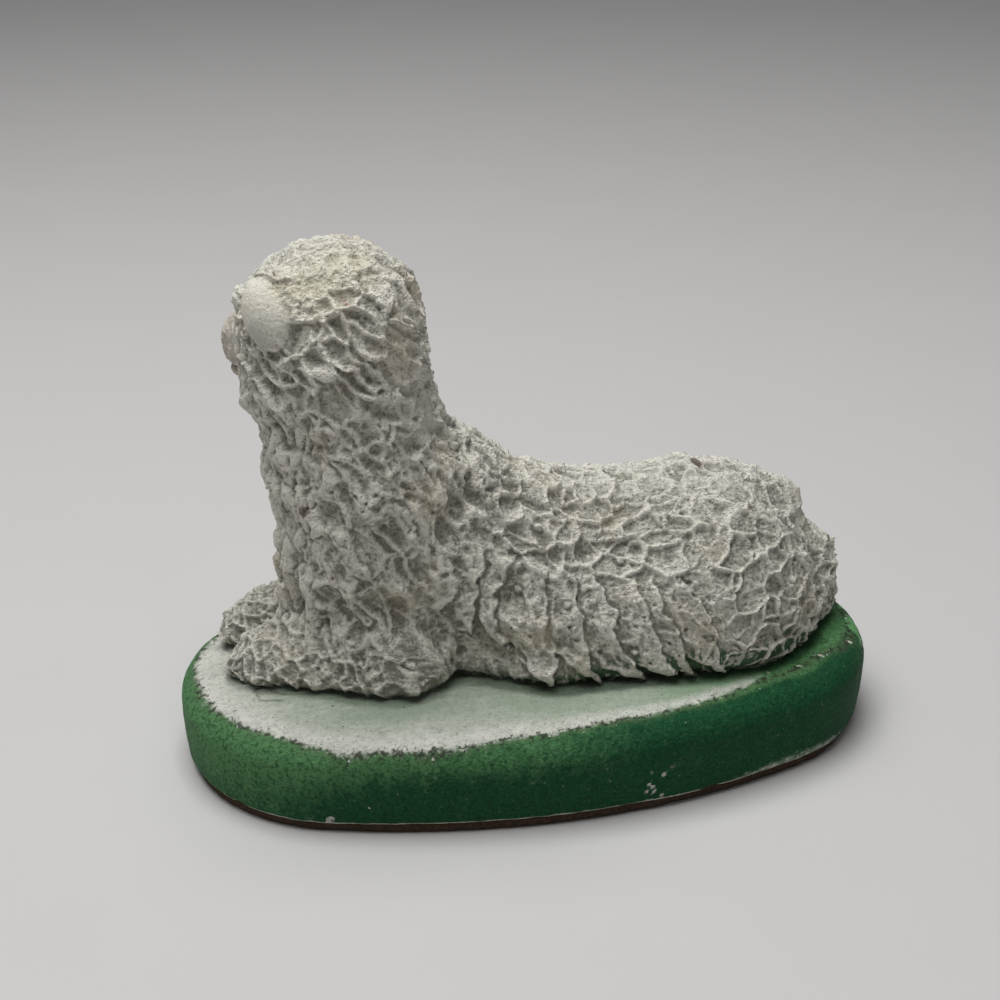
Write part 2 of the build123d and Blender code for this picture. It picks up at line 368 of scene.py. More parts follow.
def egg_field(middle, axes, half):
    """Distance outside an egg, from the point's offset in half sizes.

    It is that offset's length, times how far the length is past 1, over the length of the offset divided by
    the half sizes once more.
    """

    def field(p):
        q = (p - middle) @ axes.T / half
        k = length(q)
        return k * (k - 1) / np.maximum(length(q / half), 1e-6)

    return field


def loft_field(start, axes, run, ovals):
    """Distance outside a form whose oval section changes along a line.

    An oval gives its share of the run, half sizes across and tall, and the shifts of its middle across and
    tall. Between ovals these are eased, and the distance in a section is that of an egg.
    """
    table = np.array(ovals, float)
    shares = np.linspace(table[0, 0], table[-1, 0], 500)
    columns = eased(table[:, 0], table[:, 1:], shares)

    def field(p):
        q = (p - start) @ axes.T
        t = q[:, 0] / run
        half = np.stack([np.interp(t, shares, columns[:, i]) for i in (0, 1)], 1)
        shift = np.stack([np.interp(t, shares, columns[:, i]) for i in (2, 3)], 1)
        s = (q[:, 1:] - shift) / half
        k = length(s)
        side = k * (k - 1) / np.maximum(length(s / half), 1e-6)
        beyond = np.maximum(np.maximum(shares[0] - t, t - shares[-1]), 0) * run
        return np.where(beyond > 0, np.hypot(np.maximum(side, 0), beyond), side)

    return field


def head_frame():
    """Middle of the head, and its directions: to the nose, out to its left, and up through the crown."""
    forms = group("forms")
    turn, dip = forms.head_turn, forms.head_dip
    facing = np.array((-cos(turn) * cos(dip), sin(turn) * cos(dip), -sin(dip)))
    left = np.array((-sin(turn), -cos(turn), 0.0))
    return mm(forms.head_place) + ON_SEAT, facing, left, np.cross(facing, left)


def ear_frame(side):
    """Middle of an ear and its directions: down to its tip, across its thickness, and forwards."""
    forms = group("forms")
    middle, facing, left, _ = head_frame()
    out, forward, rise = mm(forms.ear_place)
    away = left * -side
    hang = away * sin(forms.ear_flare) - np.array((0, 0, cos(forms.ear_flare)))
    return middle + away * out + facing * forward + (0, 0, rise), hang, np.cross(facing, hang), facing


def foreleg_frame(side):
    """Elbow and hoof of a foreleg, on the plinth's top."""
    forms = group("forms")
    elbow, neck = mm(forms.elbow_place), mm(forms.neck_place)
    hoof = mm(forms.right_hoof if side > 0 else forms.left_hoof)
    return np.array((elbow[0], neck[1] + side * elbow[1], SEAT)), hoof + ON_SEAT


def haunch_middle(side):
    """Middle of a haunch: the right one's, or its mirror image."""
    return mm(group("forms").haunch_place) * (1, side, 1) + ON_SEAT


def barrel_field():
    """The trunk: upright ovals, each from its own height above the plinth's top down to one depth below."""
    forms = group("forms")
    low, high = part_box("barrel")
    half, rise, depth = mm(forms.barrel_width) / 2, mm(forms.barrel_height), mm(forms.barrel_depth)
    ovals = [(t, w * half, (h * rise + depth) / 2, 0, (h * rise - depth) / 2) for t, w, h in BARREL_FORM]
    return loft_field(np.array((low.x / MM, 0, SEAT)), np.eye(3), (high.x - low.x) / MM, ovals)


def neck_field():
    """The neck and chest: level ovals up a line, each shifted to the front or the back."""
    forms = group("forms")
    deep, wide, tall = mm(forms.neck_size)
    ovals = [(t, d * deep / 2, w * wide / 2, back * deep, 0) for t, d, w, back in NECK_FORM]
    return loft_field(mm(forms.neck_place) + ON_SEAT, np.roll(np.eye(3), 1, axis=0), tall, ovals)


def foreleg_field(side):
    """A foreleg: ovals whose width and height pass from the elbow's to the hoof's."""
    forms = group("forms")
    elbow, hoof = foreleg_frame(side)
    run = length(hoof - elbow)
    along = (hoof - elbow) / run
    at_elbow = np.array((mm(forms.elbow_width), 2 * mm(forms.elbow_place)[2]))
    at_hoof = np.array((mm(forms.hoof_width), mm(forms.hoof_height)))
    ovals = []
    for t, share in FORELEG_FORM:
        half = share * (at_elbow + (at_hoof - at_elbow) * np.clip(t, 0, 1)) / 2
        ovals.append((t, *half, 0, 0))
    return loft_field(elbow, np.array((along, np.cross(UP, along), UP)), run, ovals)


def muzzle_field():
    """The muzzle: ovals that taper from inside the head to the nose."""
    forms = group("forms")
    middle, facing, left, crown = head_frame()
    reach, wide, tall = mm(forms.muzzle_size)
    ovals = [(t, share * wide / 2, share * tall / 2, 0, 0) for t, share in MUZZLE_FORM]
    return loft_field(middle - crown * mm(forms.muzzle_drop), np.array((facing, left, crown)), reach, ovals)


def make_fields():
    """The forms by name: each a function of points that gives the distance outside the form."""
    forms = group("forms")
    middle, *head_axes = head_frame()
    fields = {
        "barrel": barrel_field(),
        "tail": egg_field(mm(forms.tail_place) + ON_SEAT, np.eye(3), mm(forms.tail_size) / 2),
        "neck": neck_field(),
        "head": egg_field(middle, np.array(head_axes), mm(forms.head_size) / 2),
        "muzzle": muzzle_field(),
    }
    for name, side in SIDES:
        ear, *ear_axes = ear_frame(side)
        fields[name + "_haunch"] = egg_field(haunch_middle(side), np.eye(3), mm(forms.haunch_size) / 2)
        fields[name + "_foreleg"] = foreleg_field(side)
        fields[name + "_ear"] = egg_field(ear, np.array(ear_axes), mm(forms.ear_size) / 2)
    return fields


def joined(fields, p):
    """Distance outside the whole casting: the least distance of all forms, less fillets between close ones.

    A fillet takes off a quarter of its size times the square of how close the two are, from 0 to 1.
    """
    total = fields["barrel"](p)
    for name, fillet in JOINS:
        value = fields[name](p)
        close = np.maximum(fillet - np.abs(total - value), 0) / fillet
        total = np.minimum(total, value) - close * close * fillet / 4
    return total


def plinth_arcs():
    """Arcs of the plinth's outline: radius and reach of the end arcs, radius and setback of the side arcs."""
    bulge = mm(group("forms").side_bulge)
    end = HALF_WIDTH - bulge
    reach = HALF_LENGTH - end
    side = (reach**2 + HALF_WIDTH**2 - end**2) / (2 * bulge)
    return end, reach, side, side - HALF_WIDTH


def plinth_inset(x, y):
    """How far inside the plinth's outline a point lies: its arc's radius less its distance to the middle."""
    end, reach, side, drop = plinth_arcs()
    at_end = np.abs(x) * drop > (np.abs(y) + drop) * reach
    return np.where(at_end, end - np.hypot(np.abs(x) - reach, y), side - np.hypot(x, np.abs(y) + drop))


def plinth_top(x, y):
    """Height of the plinth's domed top: it rises from the shoulder as share times (2 - share) of the dome."""
    forms = group("forms")
    inset = mm(forms.shoulder_radius) * (1 - cos(SHOULDER_TURN))
    base = PAD_TOP + mm(forms.wall_height) + mm(forms.shoulder_radius) * sin(SHOULDER_TURN)
    share = np.clip((plinth_inset(x, y) - inset) / mm(forms.dome_run), 0, 1)
    return base + (SEAT - base) * share * (2 - share)


# Rays and faces

# Steps of each form's grid, along its three stretches of rows and between its turns, and its widest fillet
Grid = namedtuple("Grid", "rows turns columns fillet")
RING = (-pi, pi)
UNDER = 2.1
ROW_MARKS = (-1, 0, 1, 2)
GRIDS = {
    "barrel": Grid((12, 252, 58), (-pi, -UNDER, 0, UNDER, pi), (12, 118, 160, 12), 2.0),
    "haunch": Grid((14, 4, 112), RING, (400,), 1.6),
    "tail": Grid((14, 4, 62), RING, (220,), 1.0),
    "neck": Grid((12, 217, 12), RING, (410,), 2.4),
    "foreleg": Grid((20, 92, 34), (-pi, -UNDER, UNDER, pi), (10, 170, 10), 1.2),
    "head": Grid((92, 46, 92), RING, (350,), 1.9),
    "ear": Grid((34, 40, 40), RING, (140,), 1.0),
    "muzzle": Grid((8, 62, 46), RING, (190,), 1.0),
}
RAY_REACH = 60.0
RAY_START = 0.3
HALVINGS = 20
COARSENESS = 3


def pace(marks, counts):
    """Steps along a grid line: as many as counted from each mark to the next, and the last mark itself."""
    parts = zip(marks, marks[1:], counts)
    return np.concatenate([*(np.linspace(a, b, n, endpoint=False) for a, b, n in parts), marks[-1:]])


def thinned(line):
    """A grid line with about a third of its steps, eased through the same values."""
    count = np.arange(len(line))
    return eased(count, line, np.linspace(0, count[-1], len(line) // COARSENESS + 2))


def rays(start, end, up, rows, columns):
    """Starts and directions of rays that sweep a capsule about the line from start to end.

    Rows run from -1 to 0 round the start, from 0 to 1 along the line and from 1 to 2 round the end; columns
    are the angle about the line, from up. The direction is the spoke times cos plus the line times sin of
    the row's tilt.
    """
    start, end, up = (np.array(v, float) for v in (start, end, up))
    along = unit(end - start)
    first = unit(up - along * (up @ along))
    second = np.cross(along, first)
    slide = np.clip(rows, 0, 1)
    tilt = (rows - slide) * pi / 2
    spoke = np.cos(columns)[:, None] * first + np.sin(columns)[:, None] * second
    origin = np.broadcast_to((start + slide[:, None] * (end - start))[:, None], (len(rows), len(columns), 3))
    way = np.cos(tilt)[:, None, None] * spoke + np.sin(tilt)[:, None, None] * along
    return origin, way


def crossing(field, origin, way, low, high):
    """Distance along each ray at which the field turns positive, by halving the stretch it lies in."""
    for _ in range(HALVINGS):
        middle = (low + high) / 2
        inside = field(origin + way * middle[:, None]) < 0
        low, high = np.where(inside, middle, low), np.where(inside, high, middle)
    return (low + high) / 2


def form_grid(node, start, end, up):
    """Face of one form on a fine grid of rays, with what the relief needs to know at each point.

    On a coarser grid, the ray's length is where the joined casting's face lies, but at most a fillet beyond
    the form's own face, so the piece dives under its neighbours. It is eased to the fine grid.
    """
    fields = make_fields()
    grid = GRIDS[node.split("_")[-1]]
    rows, columns = pace(ROW_MARKS, grid.rows), pace(grid.turns, grid.columns)
    coarse_rows, coarse_columns = thinned(rows), thinned(columns)
    origin, way = rays(start, end, up, coarse_rows, coarse_columns)
    shape = origin.shape[:2]
    origin, way = origin.reshape(-1, 3), way.reshape(-1, 3)

    def own(p):
        return np.maximum(fields[node](p), ROOT_PLANE - p[:, 2])

    def casting(p):
        return np.maximum(joined(fields, p), ROOT_PLANE - p[:, 2])

    def refine(value):
        tall = eased(coarse_rows, value.reshape(shape), rows)
        ring = np.concatenate([coarse_columns[-3:-1] - 2 * pi, coarse_columns, coarse_columns[1:3] + 2 * pi])
        round_value = np.concatenate([tall[:, -3:-1], tall, tall[:, 1:3]], axis=1)
        return eased(ring, round_value.T, columns[:-1]).T.ravel()

    zero = np.zeros(len(way))
    own_reach = crossing(own, origin, way, zero, zero + RAY_REACH)
    reach = crossing(casting, origin, way, own_reach * RAY_START, own_reach + grid.fillet)
    p = origin + way * reach[:, None]
    normals = unit(np.stack([refine(part) for part in slope(casting, p).T], 1))
    values = {name: field(p) for name, field in fields.items()}
    rivals = [value for name, value in values.items() if name != node]
    legs = [value for name, value in values.items() if "foreleg" in name]
    rest = [value for name, value in values.items() if "foreleg" not in name]
    ears = [value for name, value in values.items() if "ear" in name.split("_")]
    face = {
        "hidden": refine(values[node] - np.min(rivals, axis=0)),
        "leg": refine(np.min(legs, axis=0) - np.min(rest, axis=0)),
        "ear": refine(np.min(ears, axis=0)),
        "muzzle": refine(values["muzzle"]),
    }
    origin, way = rays(start, end, up, rows, columns[:-1])
    points = origin + way * refine(reach).reshape(origin.shape[:2])[..., None]
    return points.reshape(-1, 3), normals, face, origin.shape[:2]


def face_mesh(name, points, shape, attributes):
    """A closed mesh from a grid of points in mm, with a value at each point for each attribute.

    Columns close round, and the first and last rows shrink to poles.
    """
    rows, columns = shape
    grid = points.reshape(rows, columns, 3) * MM
    vertices = np.concatenate([grid[1:-1].reshape(-1, 3), (grid[0].mean(0), grid[-1].mean(0))])
    index = np.arange((rows - 2) * columns).reshape(rows - 2, columns)
    beside = np.roll(index, -1, axis=1)
    quads = np.stack([index[:-1], beside[:-1], beside[1:], index[1:]], -1).reshape(-1, 4)
    first, last = index.size, index.size + 1
    cap_a = np.stack([np.full(columns, first), beside[0], index[0]], -1)
    cap_b = np.stack([np.full(columns, last), index[-1], beside[-1]], -1)
    loops = np.concatenate([quads.ravel(), cap_a.ravel(), cap_b.ravel()])
    sizes = np.concatenate([np.full(len(quads), 4), np.full(2 * columns, 3)])
    starts = np.concatenate([[0], np.cumsum(sizes)[:-1]])
    mesh = bpy.data.meshes.new(name)
    mesh.vertices.add(len(vertices))
    mesh.vertices.foreach_set("co", vertices.astype(np.float32).ravel())
    mesh.loops.add(len(loops))
    mesh.loops.foreach_set("vertex_index", loops.astype(np.int32))
    mesh.polygons.add(len(sizes))
    mesh.polygons.foreach_set("loop_start", starts.astype(np.int32))
    mesh.update(calc_edges=True)
    mesh.shade_smooth()
    for label, value in attributes.items():
        value = np.broadcast_to(value, (rows * columns,)).reshape(rows, columns)
        kept = np.concatenate([value[1:-1].ravel(), [value[0].mean(), value[-1].mean()]])
        mesh.attributes.new(label, "FLOAT", "POINT").data.foreach_set("value", kept.astype(np.float32))
    if mesh.validate():
        raise RuntimeError(f"{name}: the grid gave a broken mesh")
    piece = bpy.data.objects.new(name, mesh)
    bpy.context.scene.collection.objects.link(piece)
    return piece


def settle(piece, node, material):
    """Puts a finished piece in place of its CAD node."""
    piece.data.materials.append(material)
    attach(piece, "root")
    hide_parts(node)


# Fleece

# The spine: middle, radius and y of its bend, and the trunk's radius by which an angle becomes an arc in mm
BEND_MIDDLE = (10.0, 41.0)
BEND_RADIUS = 34.0
SPINE_Y = 0.6
TRUNK_ARC = 17.0

# The hollows between the main locks: angles of the barrel's rows, locks and rise of the neck's rings
BARREL_LOCK_TURNS = np.radians((-73, -58, -42, -23, 0, 23, 42, 58, 73))
NECK_RING_LOCKS = 12
RING_SHARE = 0.87
SLIDES = 12
HOLLOW_SHARES = {"barrel": 0.6, "neck": 0.85}

# Edges of the patches of fleece, in mm along or round the spine, in x or in height; the flank's in radians
BODY_START, BODY_LAG, FLANK_TURN = (-34, -28), 5, (0.5, 1.6)
HANG_ROUND, HANG_REAR = (17.5, 21.5), (17, 11)
RUMP_START = (18, 23)
HEAD_START, HEAD_LEAN, HEAD_X = (34, 39), 0.25, -25
CROWN_START = (4.5, 8.5)
LEG_START, LEG_TOP = (1.2, -1.2), (18, 14)
ROPES_START = (-28, -32.5)

# Small locks of each patch: the relief size that sets them and their share of it, how long they are drawn and
# which way, seed, tilt of each scoop, and their shares of the relief's ridge, ridge width, scoop and step.
# The back's locks have no one way: they follow the spine, in rows that LOCK_ROWS gives by the arc in mm.
Lock = namedtuple("Lock", "size share pull way seed tilt ridge width scoop step")
LOCKS = {
    "back": Lock("lock_length", 1.0, 1.0, None, 3, (0.55, 0.35), 1.0, 1.0, 1.0, 0.8),
    "rump": Lock("rump_lock", 1.0, 1.2, (1, 0, 0.1), 6, (0.3, 0, -0.3), 1.05, 0.9, 1.15, 0.45),
    "neck": Lock("neck_lock", 1.0, 2.8, (0.55, 0, -0.83), 7, (0.2, 0.1, 0.5), 1.05, 1.4, 1.05, 1.3),
    "ropes": Lock("neck_lock", 0.76, 2.2, (0.1, 0, 1), 19, (0.2, 0.3, 0.1), -0.6, 1.7, -1.0, 1.0),
    "curls": Lock("neck_lock", 0.85, 2.4, (0.75, 0.1, -0.66), 9, (0.2, 0.1, 0.6), 1.1, 1.5, 1.3, 1.1),
    "crown": Lock("neck_lock", 1.08, 1.5, (1, 0, 0), 13, (0.2, 0.1, 0.3), 0.42, 1.3, 0.85, 0.65),
    "leg": Lock("neck_lock", 1.0, 1.6, (0.5, 0, -0.85), 17, (0.2, 0, 0.4), 0.7, 1.0, 0.9, 0.9),
    "hang": Lock("neck_lock", 1.0, 1.6, (0.45, 0, -0.9), 23, (0.2, 0.2, 0.3), 0.4, 1.0, 0.55, 0.3),
}
LOCK_ROWS = np.array(((0, 0), (6, 2.3), (13, 5.0), (19, 7.0), (24, 8.4), (30, 9.6), (38, 11.0), (60, 14.0)))
LEAST_WEIGHT = 0.002
# Form of a small lock: curve, brim and depth of its scoop, its level, and thickness and height of its ridge
SCOOP = SimpleNamespace(jitter=0.95, curve=2.2, brim=0.2, least=0.35, deeper=1.3, level=0.8)
RIDGE = SimpleNamespace(thin=0.6, thicker=0.7, low=0.1, higher=1.35)

# The long locks of the lower flank: arcs of their top and tip, how far they sweep to the rear and how they
# narrow there, rise across a lock, drop at its rear edge, the lip along that edge, and the slanting tip
HANG = SimpleNamespace(
    top=18.5, tip=33.2, end=1.3, sweep=6.0, sweep_power=1.5, narrower=0.012, uneven=0.6, edge_seed=57,
    seed=55, least=0.5, level=0.4, drop=0.6, drop_width=0.45, lip=0.26, lip_width=0.36, lip_mean=0.8,
    lip_wear=((0.7, 1.7, 58),), slant=3.0, slant_power=1.2, tip_spread=2.2, tip_ragged=((0.5, 1.4, 59),),
    fall=0.8, fall_width=0.9,
)

# Layers of noise: height, size and seed
SWAY = ((1.0, 4.2, 11), (0.45, 1.5, 21), (0.10, 0.75, 25))
RIDGE_WEAR = ((0.5, 2.6, 15), (0.2, 0.9, 16), (0.3, 6.5, 17))
RIDGE_MEAN, RIDGE_LEAST = 0.95, 0.6
LUMPS = ((1.0, 7.5, 45), (0.45, 3.4, 47))
HANG_RAGGED = ((0.22, 6.0, 51), (0.15, 1.9, 53), (0.07, 0.9, 54))
TUFTS = (("neck", 0.38, 3.0, 67), ("leg", 0.304, 3.0, 67), ("ropes", 0.6, 2.8, 97))

# Crags and grain: height, with what some patches add to it, and the share that stays on bald plaster
CRAGS = SimpleNamespace(rise=0.10, way=(0.55, 0.1, -0.83), size=3.3, pull=1.8, seed=61)
CRAGS_MORE = {"neck": 0.10, "ropes": 0.05, "leg": 0.08}
HANG_CRAGS = SimpleNamespace(rise=0.11, size=1.6, seed=69)
FINE_CRAGS = SimpleNamespace(rise=0.06, size=1.15, seed=41)
FINE_GRAIN = ((0.05, 0.45, 43),)
FINE_MORE = {"neck": 0.5, "ropes": 0.5, "leg": 0.5}
BALD_FINE, BALD_LUMPS = 0.3, 0.6

# Wear: how much of the locks is gone along the spine, and the height past which crests are worn
SPINE_WEAR, SPINE_REACH = 0.4, (9, 3)
CREST_LIMIT, CREST_SHARE = 0.6, 0.5

# Broad swells and dents of the casting: x, y, z, radius and rise
SWELLS = (
    (-17.5, 8.9, 71.0, 4.0, -1.6), (-36.2, 2.5, 71.0, 3.8, -0.9), (-13.8, -1.5, 61.3, 5.0, -1.2),
    (-38.3, 0.0, 53.5, 3.5, 1.0), (-37.5, 1.8, 46.5, 3.8, -1.1), (-36.3, 2.0, 36.5, 4.0, -1.1),
    (9.0, 4.0, 37.5, 7.0, 0.8), (36.0, 3.0, 34.5, 6.0, 0.8), (38.8, 1.0, 33.0, 3.2, 1.2),
    (41.2, 0.1, 29.0, 2.2, -0.8), (46.9, -2.0, 19.5, 5.5, -1.2),
)

# Air in the mould: spacing, seed, least radius and spread of radii, share of cells and depth in pinholes
AIR_HOLES = ((1.7, 31, 0.13, 0.25, 0.5, 1.0), (3.6, 35, 0.35, 0.4, 0.3, 1.3))
SMALL_BEADS = SimpleNamespace(spacing=3.7, seed=33, least=0.28, spread=0.22, share=0.42)
# Form of a bead, in its radii: edge of the dome, depth, place and spread of the moat, and reach in mm
BEAD = SimpleNamespace(dome=(1.15, 0.45), moat=0.26, moat_at=1.6, moat_spread=0.2, reach=3.0)
# Beads that stand alone: x, y, z and radius
BEADS = (
    (-22.1, -12.8, 46.7, 0.55), (-23.3, -13.3, 42.2, 0.45), (-30.0, -10.8, 39.1, 0.42),
    (-12.8, -12.1, 27.5, 0.48), (-5.1, -14.7, 24.5, 0.55), (12.3, -17.8, 23.1, 0.50),
    (16.6, -9.6, 34.6, 0.50),
)

# The face: the raised lobe of an ear, the bump of an eye, and where wool gives way to bare plaster
LOBE = SimpleNamespace(
    half=(4.7, 3.9), rise=1.25, drop=0.2, inward=-1.0, within=1.5, edge=(1.15, 0.75), ragged=(0.12, 1.4, 99),
    hang=(-3, 1), flatter=0.4, groove=0.3, groove_at=1.14, groove_half=0.11,
)
EYE = SimpleNamespace(ahead=8.9, aside=6.0, up=6.4, rise=1.1, half=1.6, moat=0.3, moat_at=2.6, moat_half=0.7)
BARE_MUZZLE = (1.2, 0.4)
BARE_FACE = SimpleNamespace(ahead=(4, 8), aside=(10.5, 8.0), up=(6.5, 4.5))

# Stains of the fleece: x, y, z and radius
BROWN_SPOTS = ((-32.8, -8.9, 41.2, 1.1), (24.8, 1.9, 37.8, 1.3))
RED_TRACE = ((-26.5, -8.5, 69.4, 0.5), (-26.2, -9.2, 68.8, 0.45), (-25.9, -9.8, 68.1, 0.5))
YELLOW_PATCH = ((-29.0, -6.2, 71.4, 5.0), (-25.0, -5.0, 72.5, 4.0))

# Tone of the plaster: how much paler it is painted, with grime and painted shade in hollows, painted
# highlight on crests and painted light and shade by place, and the ranges of x and of height above the plinth
TONE = SimpleNamespace(
    mean=0.52, near=0.40, far=1.6, near_reach=3, far_reach=8, all=0.06,
    ear_top=0.32, ear_top_high=(51, 56), ear_tip=0.30, ear_tip_high=(54, 49.5),
    front=(-10, -17), chest=0.22, chest_high=(14, 22), forelegs=0.08,
    nape=0.45, nape_x=(-24, -18), nape_low=(30, 38), nape_high=(56, 50),
)

# Where the sheep meets its neighbours and the plinth, in mm
DIVE, DIVE_RANGE = 1.6, (0.25, 3.2)
ROLL, ROLL_ABOVE, ROLL_BELOW = 1.25, (1.9, 0.0), (-2.5, -0.5)
ROOT_MARGIN = 0.3
STAIN = SimpleNamespace(
    rear=(-22, 24), front_top=2.2, rear_top=6.0, full=0.3, pale=(0.8, 0.3), least=0.4, more=0.9
)
# Height above the plinth over which the fleece is darkened: green paint and painted shade
CONTACT_SHADE = (1.6, 0.2)


def spine_place(p):
    """Where points lie along and round the sheep's spine, in mm and radians.

    The spine runs level along the trunk, turns up through a quarter circle and goes on up the neck. Along
    is 0 under the circle's middle and grows to the rear; round is 0 on the back and grows down both sides.
    """
    dx, dz = p[:, 0] - BEND_MIDDLE[0], p[:, 2] - SEAT - BEND_MIDDLE[1]
    bend = np.clip(np.arctan2(-dx, -dz), 0, pi / 2)
    level, upright = bend <= 0, bend >= pi / 2
    along = np.where(level, np.maximum(dx, 0), -BEND_RADIUS * bend - np.where(upright, np.maximum(dz, 0), 0))
    inner = BEND_RADIUS + np.where(level, dz, np.where(upright, dx, -np.hypot(dx, dz)))
    return along, np.arctan2(-(p[:, 1] - SPINE_Y), inner)


def hollow_centres(node):
    """Centres of the round hollows scooped between the main locks of the barrel or the neck.

    Marks stand off the form in staggered rows or rings. Each slides down the form's slope onto its face,
    is dropped where another form is near, and the scoop's centre lies outside it along the slope.
    """
    forms, relief = group("forms"), group("relief")
    spacing, radius = mm(relief.hollow_spacing), mm(relief.hollow_radius)
    fields = make_fields()
    if node == "barrel":
        low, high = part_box("barrel")
        across, rise = mm(forms.barrel_width) / 2 + spacing, mm(forms.barrel_height)
        root = mm(forms.barrel_depth) - rise
        row, step = np.indices((len(BARREL_LOCK_TURNS), int((high.x - low.x) / MM / spacing)))
        lean = BARREL_LOCK_TURNS[row]
        tall = (rise + root / 2 + spacing) * np.cos(lean) - root / 2
        marks = ((step + row % 2 / 2) * spacing + low.x / MM, across * np.sin(lean), tall)
    else:
        place, (deep, wide, _) = mm(forms.neck_place), mm(forms.neck_size) / 2 + spacing
        rise = spacing * RING_SHARE
        row, step = np.indices((int((mm(forms.neck_size)[2] + place[2]) / rise), NECK_RING_LOCKS))
        lean = 2 * pi * (step + row % 2 / 2) / NECK_RING_LOCKS
        marks = (deep * np.cos(lean) + place[0], wide * np.sin(lean) + place[1], row * rise)
    foot = np.stack(marks, -1).reshape(-1, 3) + ON_SEAT
    for _ in range(SLIDES):
        foot = foot - slope(fields[node], foot) * fields[node](foot)[:, None]
    apart = np.min([field(foot) for name, field in fields.items() if name != node], axis=0)
    clear = np.minimum(apart, foot[:, 2] - plinth_top(foot[:, 0], foot[:, 1])) > spacing / 2
    return (foot + slope(fields[node], foot) * (radius - mm(relief.hollow_depth)))[clear]


def main_hollows(q):
    """Depth of the main hollows: a share of how far a point lies inside the nearest scoop."""
    radius = mm(group("relief").hollow_radius)
    depth = np.zeros(len(q))
    for node, share in HOLLOW_SHARES.items():
        sunk = np.zeros(len(q))
        for centre in hollow_centres(node):
            if (np.abs(centre - np.clip(centre, q.min(0), q.max(0))) < radius).all():
                sunk = np.maximum(sunk, radius - length(q - centre))
        depth += share * sunk
    return depth


def patches(p, q, face, along, around):
    """How much of each patch of fleece lies at each point, by name; the shares of a point add up to 1.

    Each share is a product of steps across the patches' edges. Gives also the shares of the whole body and of
    the hanging locks before the forelegs take theirs.
    """
    middle, _, _, crown = head_frame()
    high = p[:, 2] - SEAT
    turn = np.abs(around)
    on_body = smooth(*BODY_START, along - BODY_LAG * smooth(*FLANK_TURN, turn))
    on_hang = on_body * smooth(*HANG_ROUND, turn * TRUNK_ARC) * smooth(*HANG_REAR, along)
    on_rump = (on_body - on_hang) * smooth(*RUMP_START, q[:, 0])
    on_head = smooth(*HEAD_START, high + HEAD_LEAN * (q[:, 0] - HEAD_X))
    on_crown = on_head * smooth(*CROWN_START, (p - middle) @ crown)
    on_leg = smooth(*LEG_START, face["leg"]) * smooth(*LEG_TOP, high)
    on_front = smooth(*ROPES_START, q[:, 0])
    shares = {
        "back": on_body - on_hang - on_rump,
        "rump": on_rump,
        "neck": (1 - on_body) * (1 - on_head) * (1 - on_front),
        "ropes": (1 - on_body) * (1 - on_head) * on_front,
        "curls": (1 - on_body) * (on_head - on_crown),
        "crown": (1 - on_body) * on_crown,
        "hang": on_hang,
    }
    shares = {name: share * (1 - on_leg) for name, share in shares.items()}
    return shares | {"leg": on_leg}, on_body, on_hang


def lock_cells(lock, q, along, around):
    """Points in units of a patch's small locks, and the sizes of a lock there in mm."""
    size = lock.share * mm(getattr(group("relief"), lock.size))
    if lock.way:
        return stretched(q, lock.way, size, lock.pull)
    arc = np.abs(around) * TRUNK_ARC
    rows, ahead, behind = (eased(*LOCK_ROWS.T, arc + side) for side in (0, 0.25, -0.25))
    cells = np.stack([along / size, rows * np.sign(around + 1e-9)], 1)
    return cells, np.stack([np.full(len(q), size), 0.5 / np.maximum(ahead - behind, 0.01)], 1)


def pockets(q, size, seed, tilt, ridge, width, scoop, step):
    """Relief of a patch of fleece, in mm, from cells round scattered seeds.

    Each cell is a scoop, deepest at its seed and tilted, and passes into its neighbour's across their border.
    A sharp ridge runs along the border, strong or faint by the luck of the two. The distance to the border is
    half the difference of the squared distances to the seeds over their distance.
    """
    near, after, mine, other = nearest_seeds(q, seed, SCOOP.jitter)
    gap = after - near
    apart = np.maximum(length(gap), 1e-6)
    edge = 0.5 * ((after * after).sum(1) - (near * near).sum(1)) / apart
    edge = np.maximum(edge, 0) / length(gap / apart[:, None] / size)

    def floor(offset, chance):
        bowl = np.minimum(SCOOP.curve * (offset * offset).sum(1) - 1, SCOOP.brim)
        sunk = scoop * bowl * (SCOOP.least + SCOOP.deeper * chance)
        return sunk - step * (offset @ tilt) + SCOOP.level * step * (chance - 0.5)

    pair = redrawn(mine + other, 5.3)
    share = smooth(-width, width, edge)
    line = crest(edge, width * (RIDGE.thin + RIDGE.thicker * pair))
    line = line * (RIDGE.low + RIDGE.higher * redrawn(pair, 3.1))
    return floor(near, mine) * share + floor(after, other) * (1 - share) + ridge * line


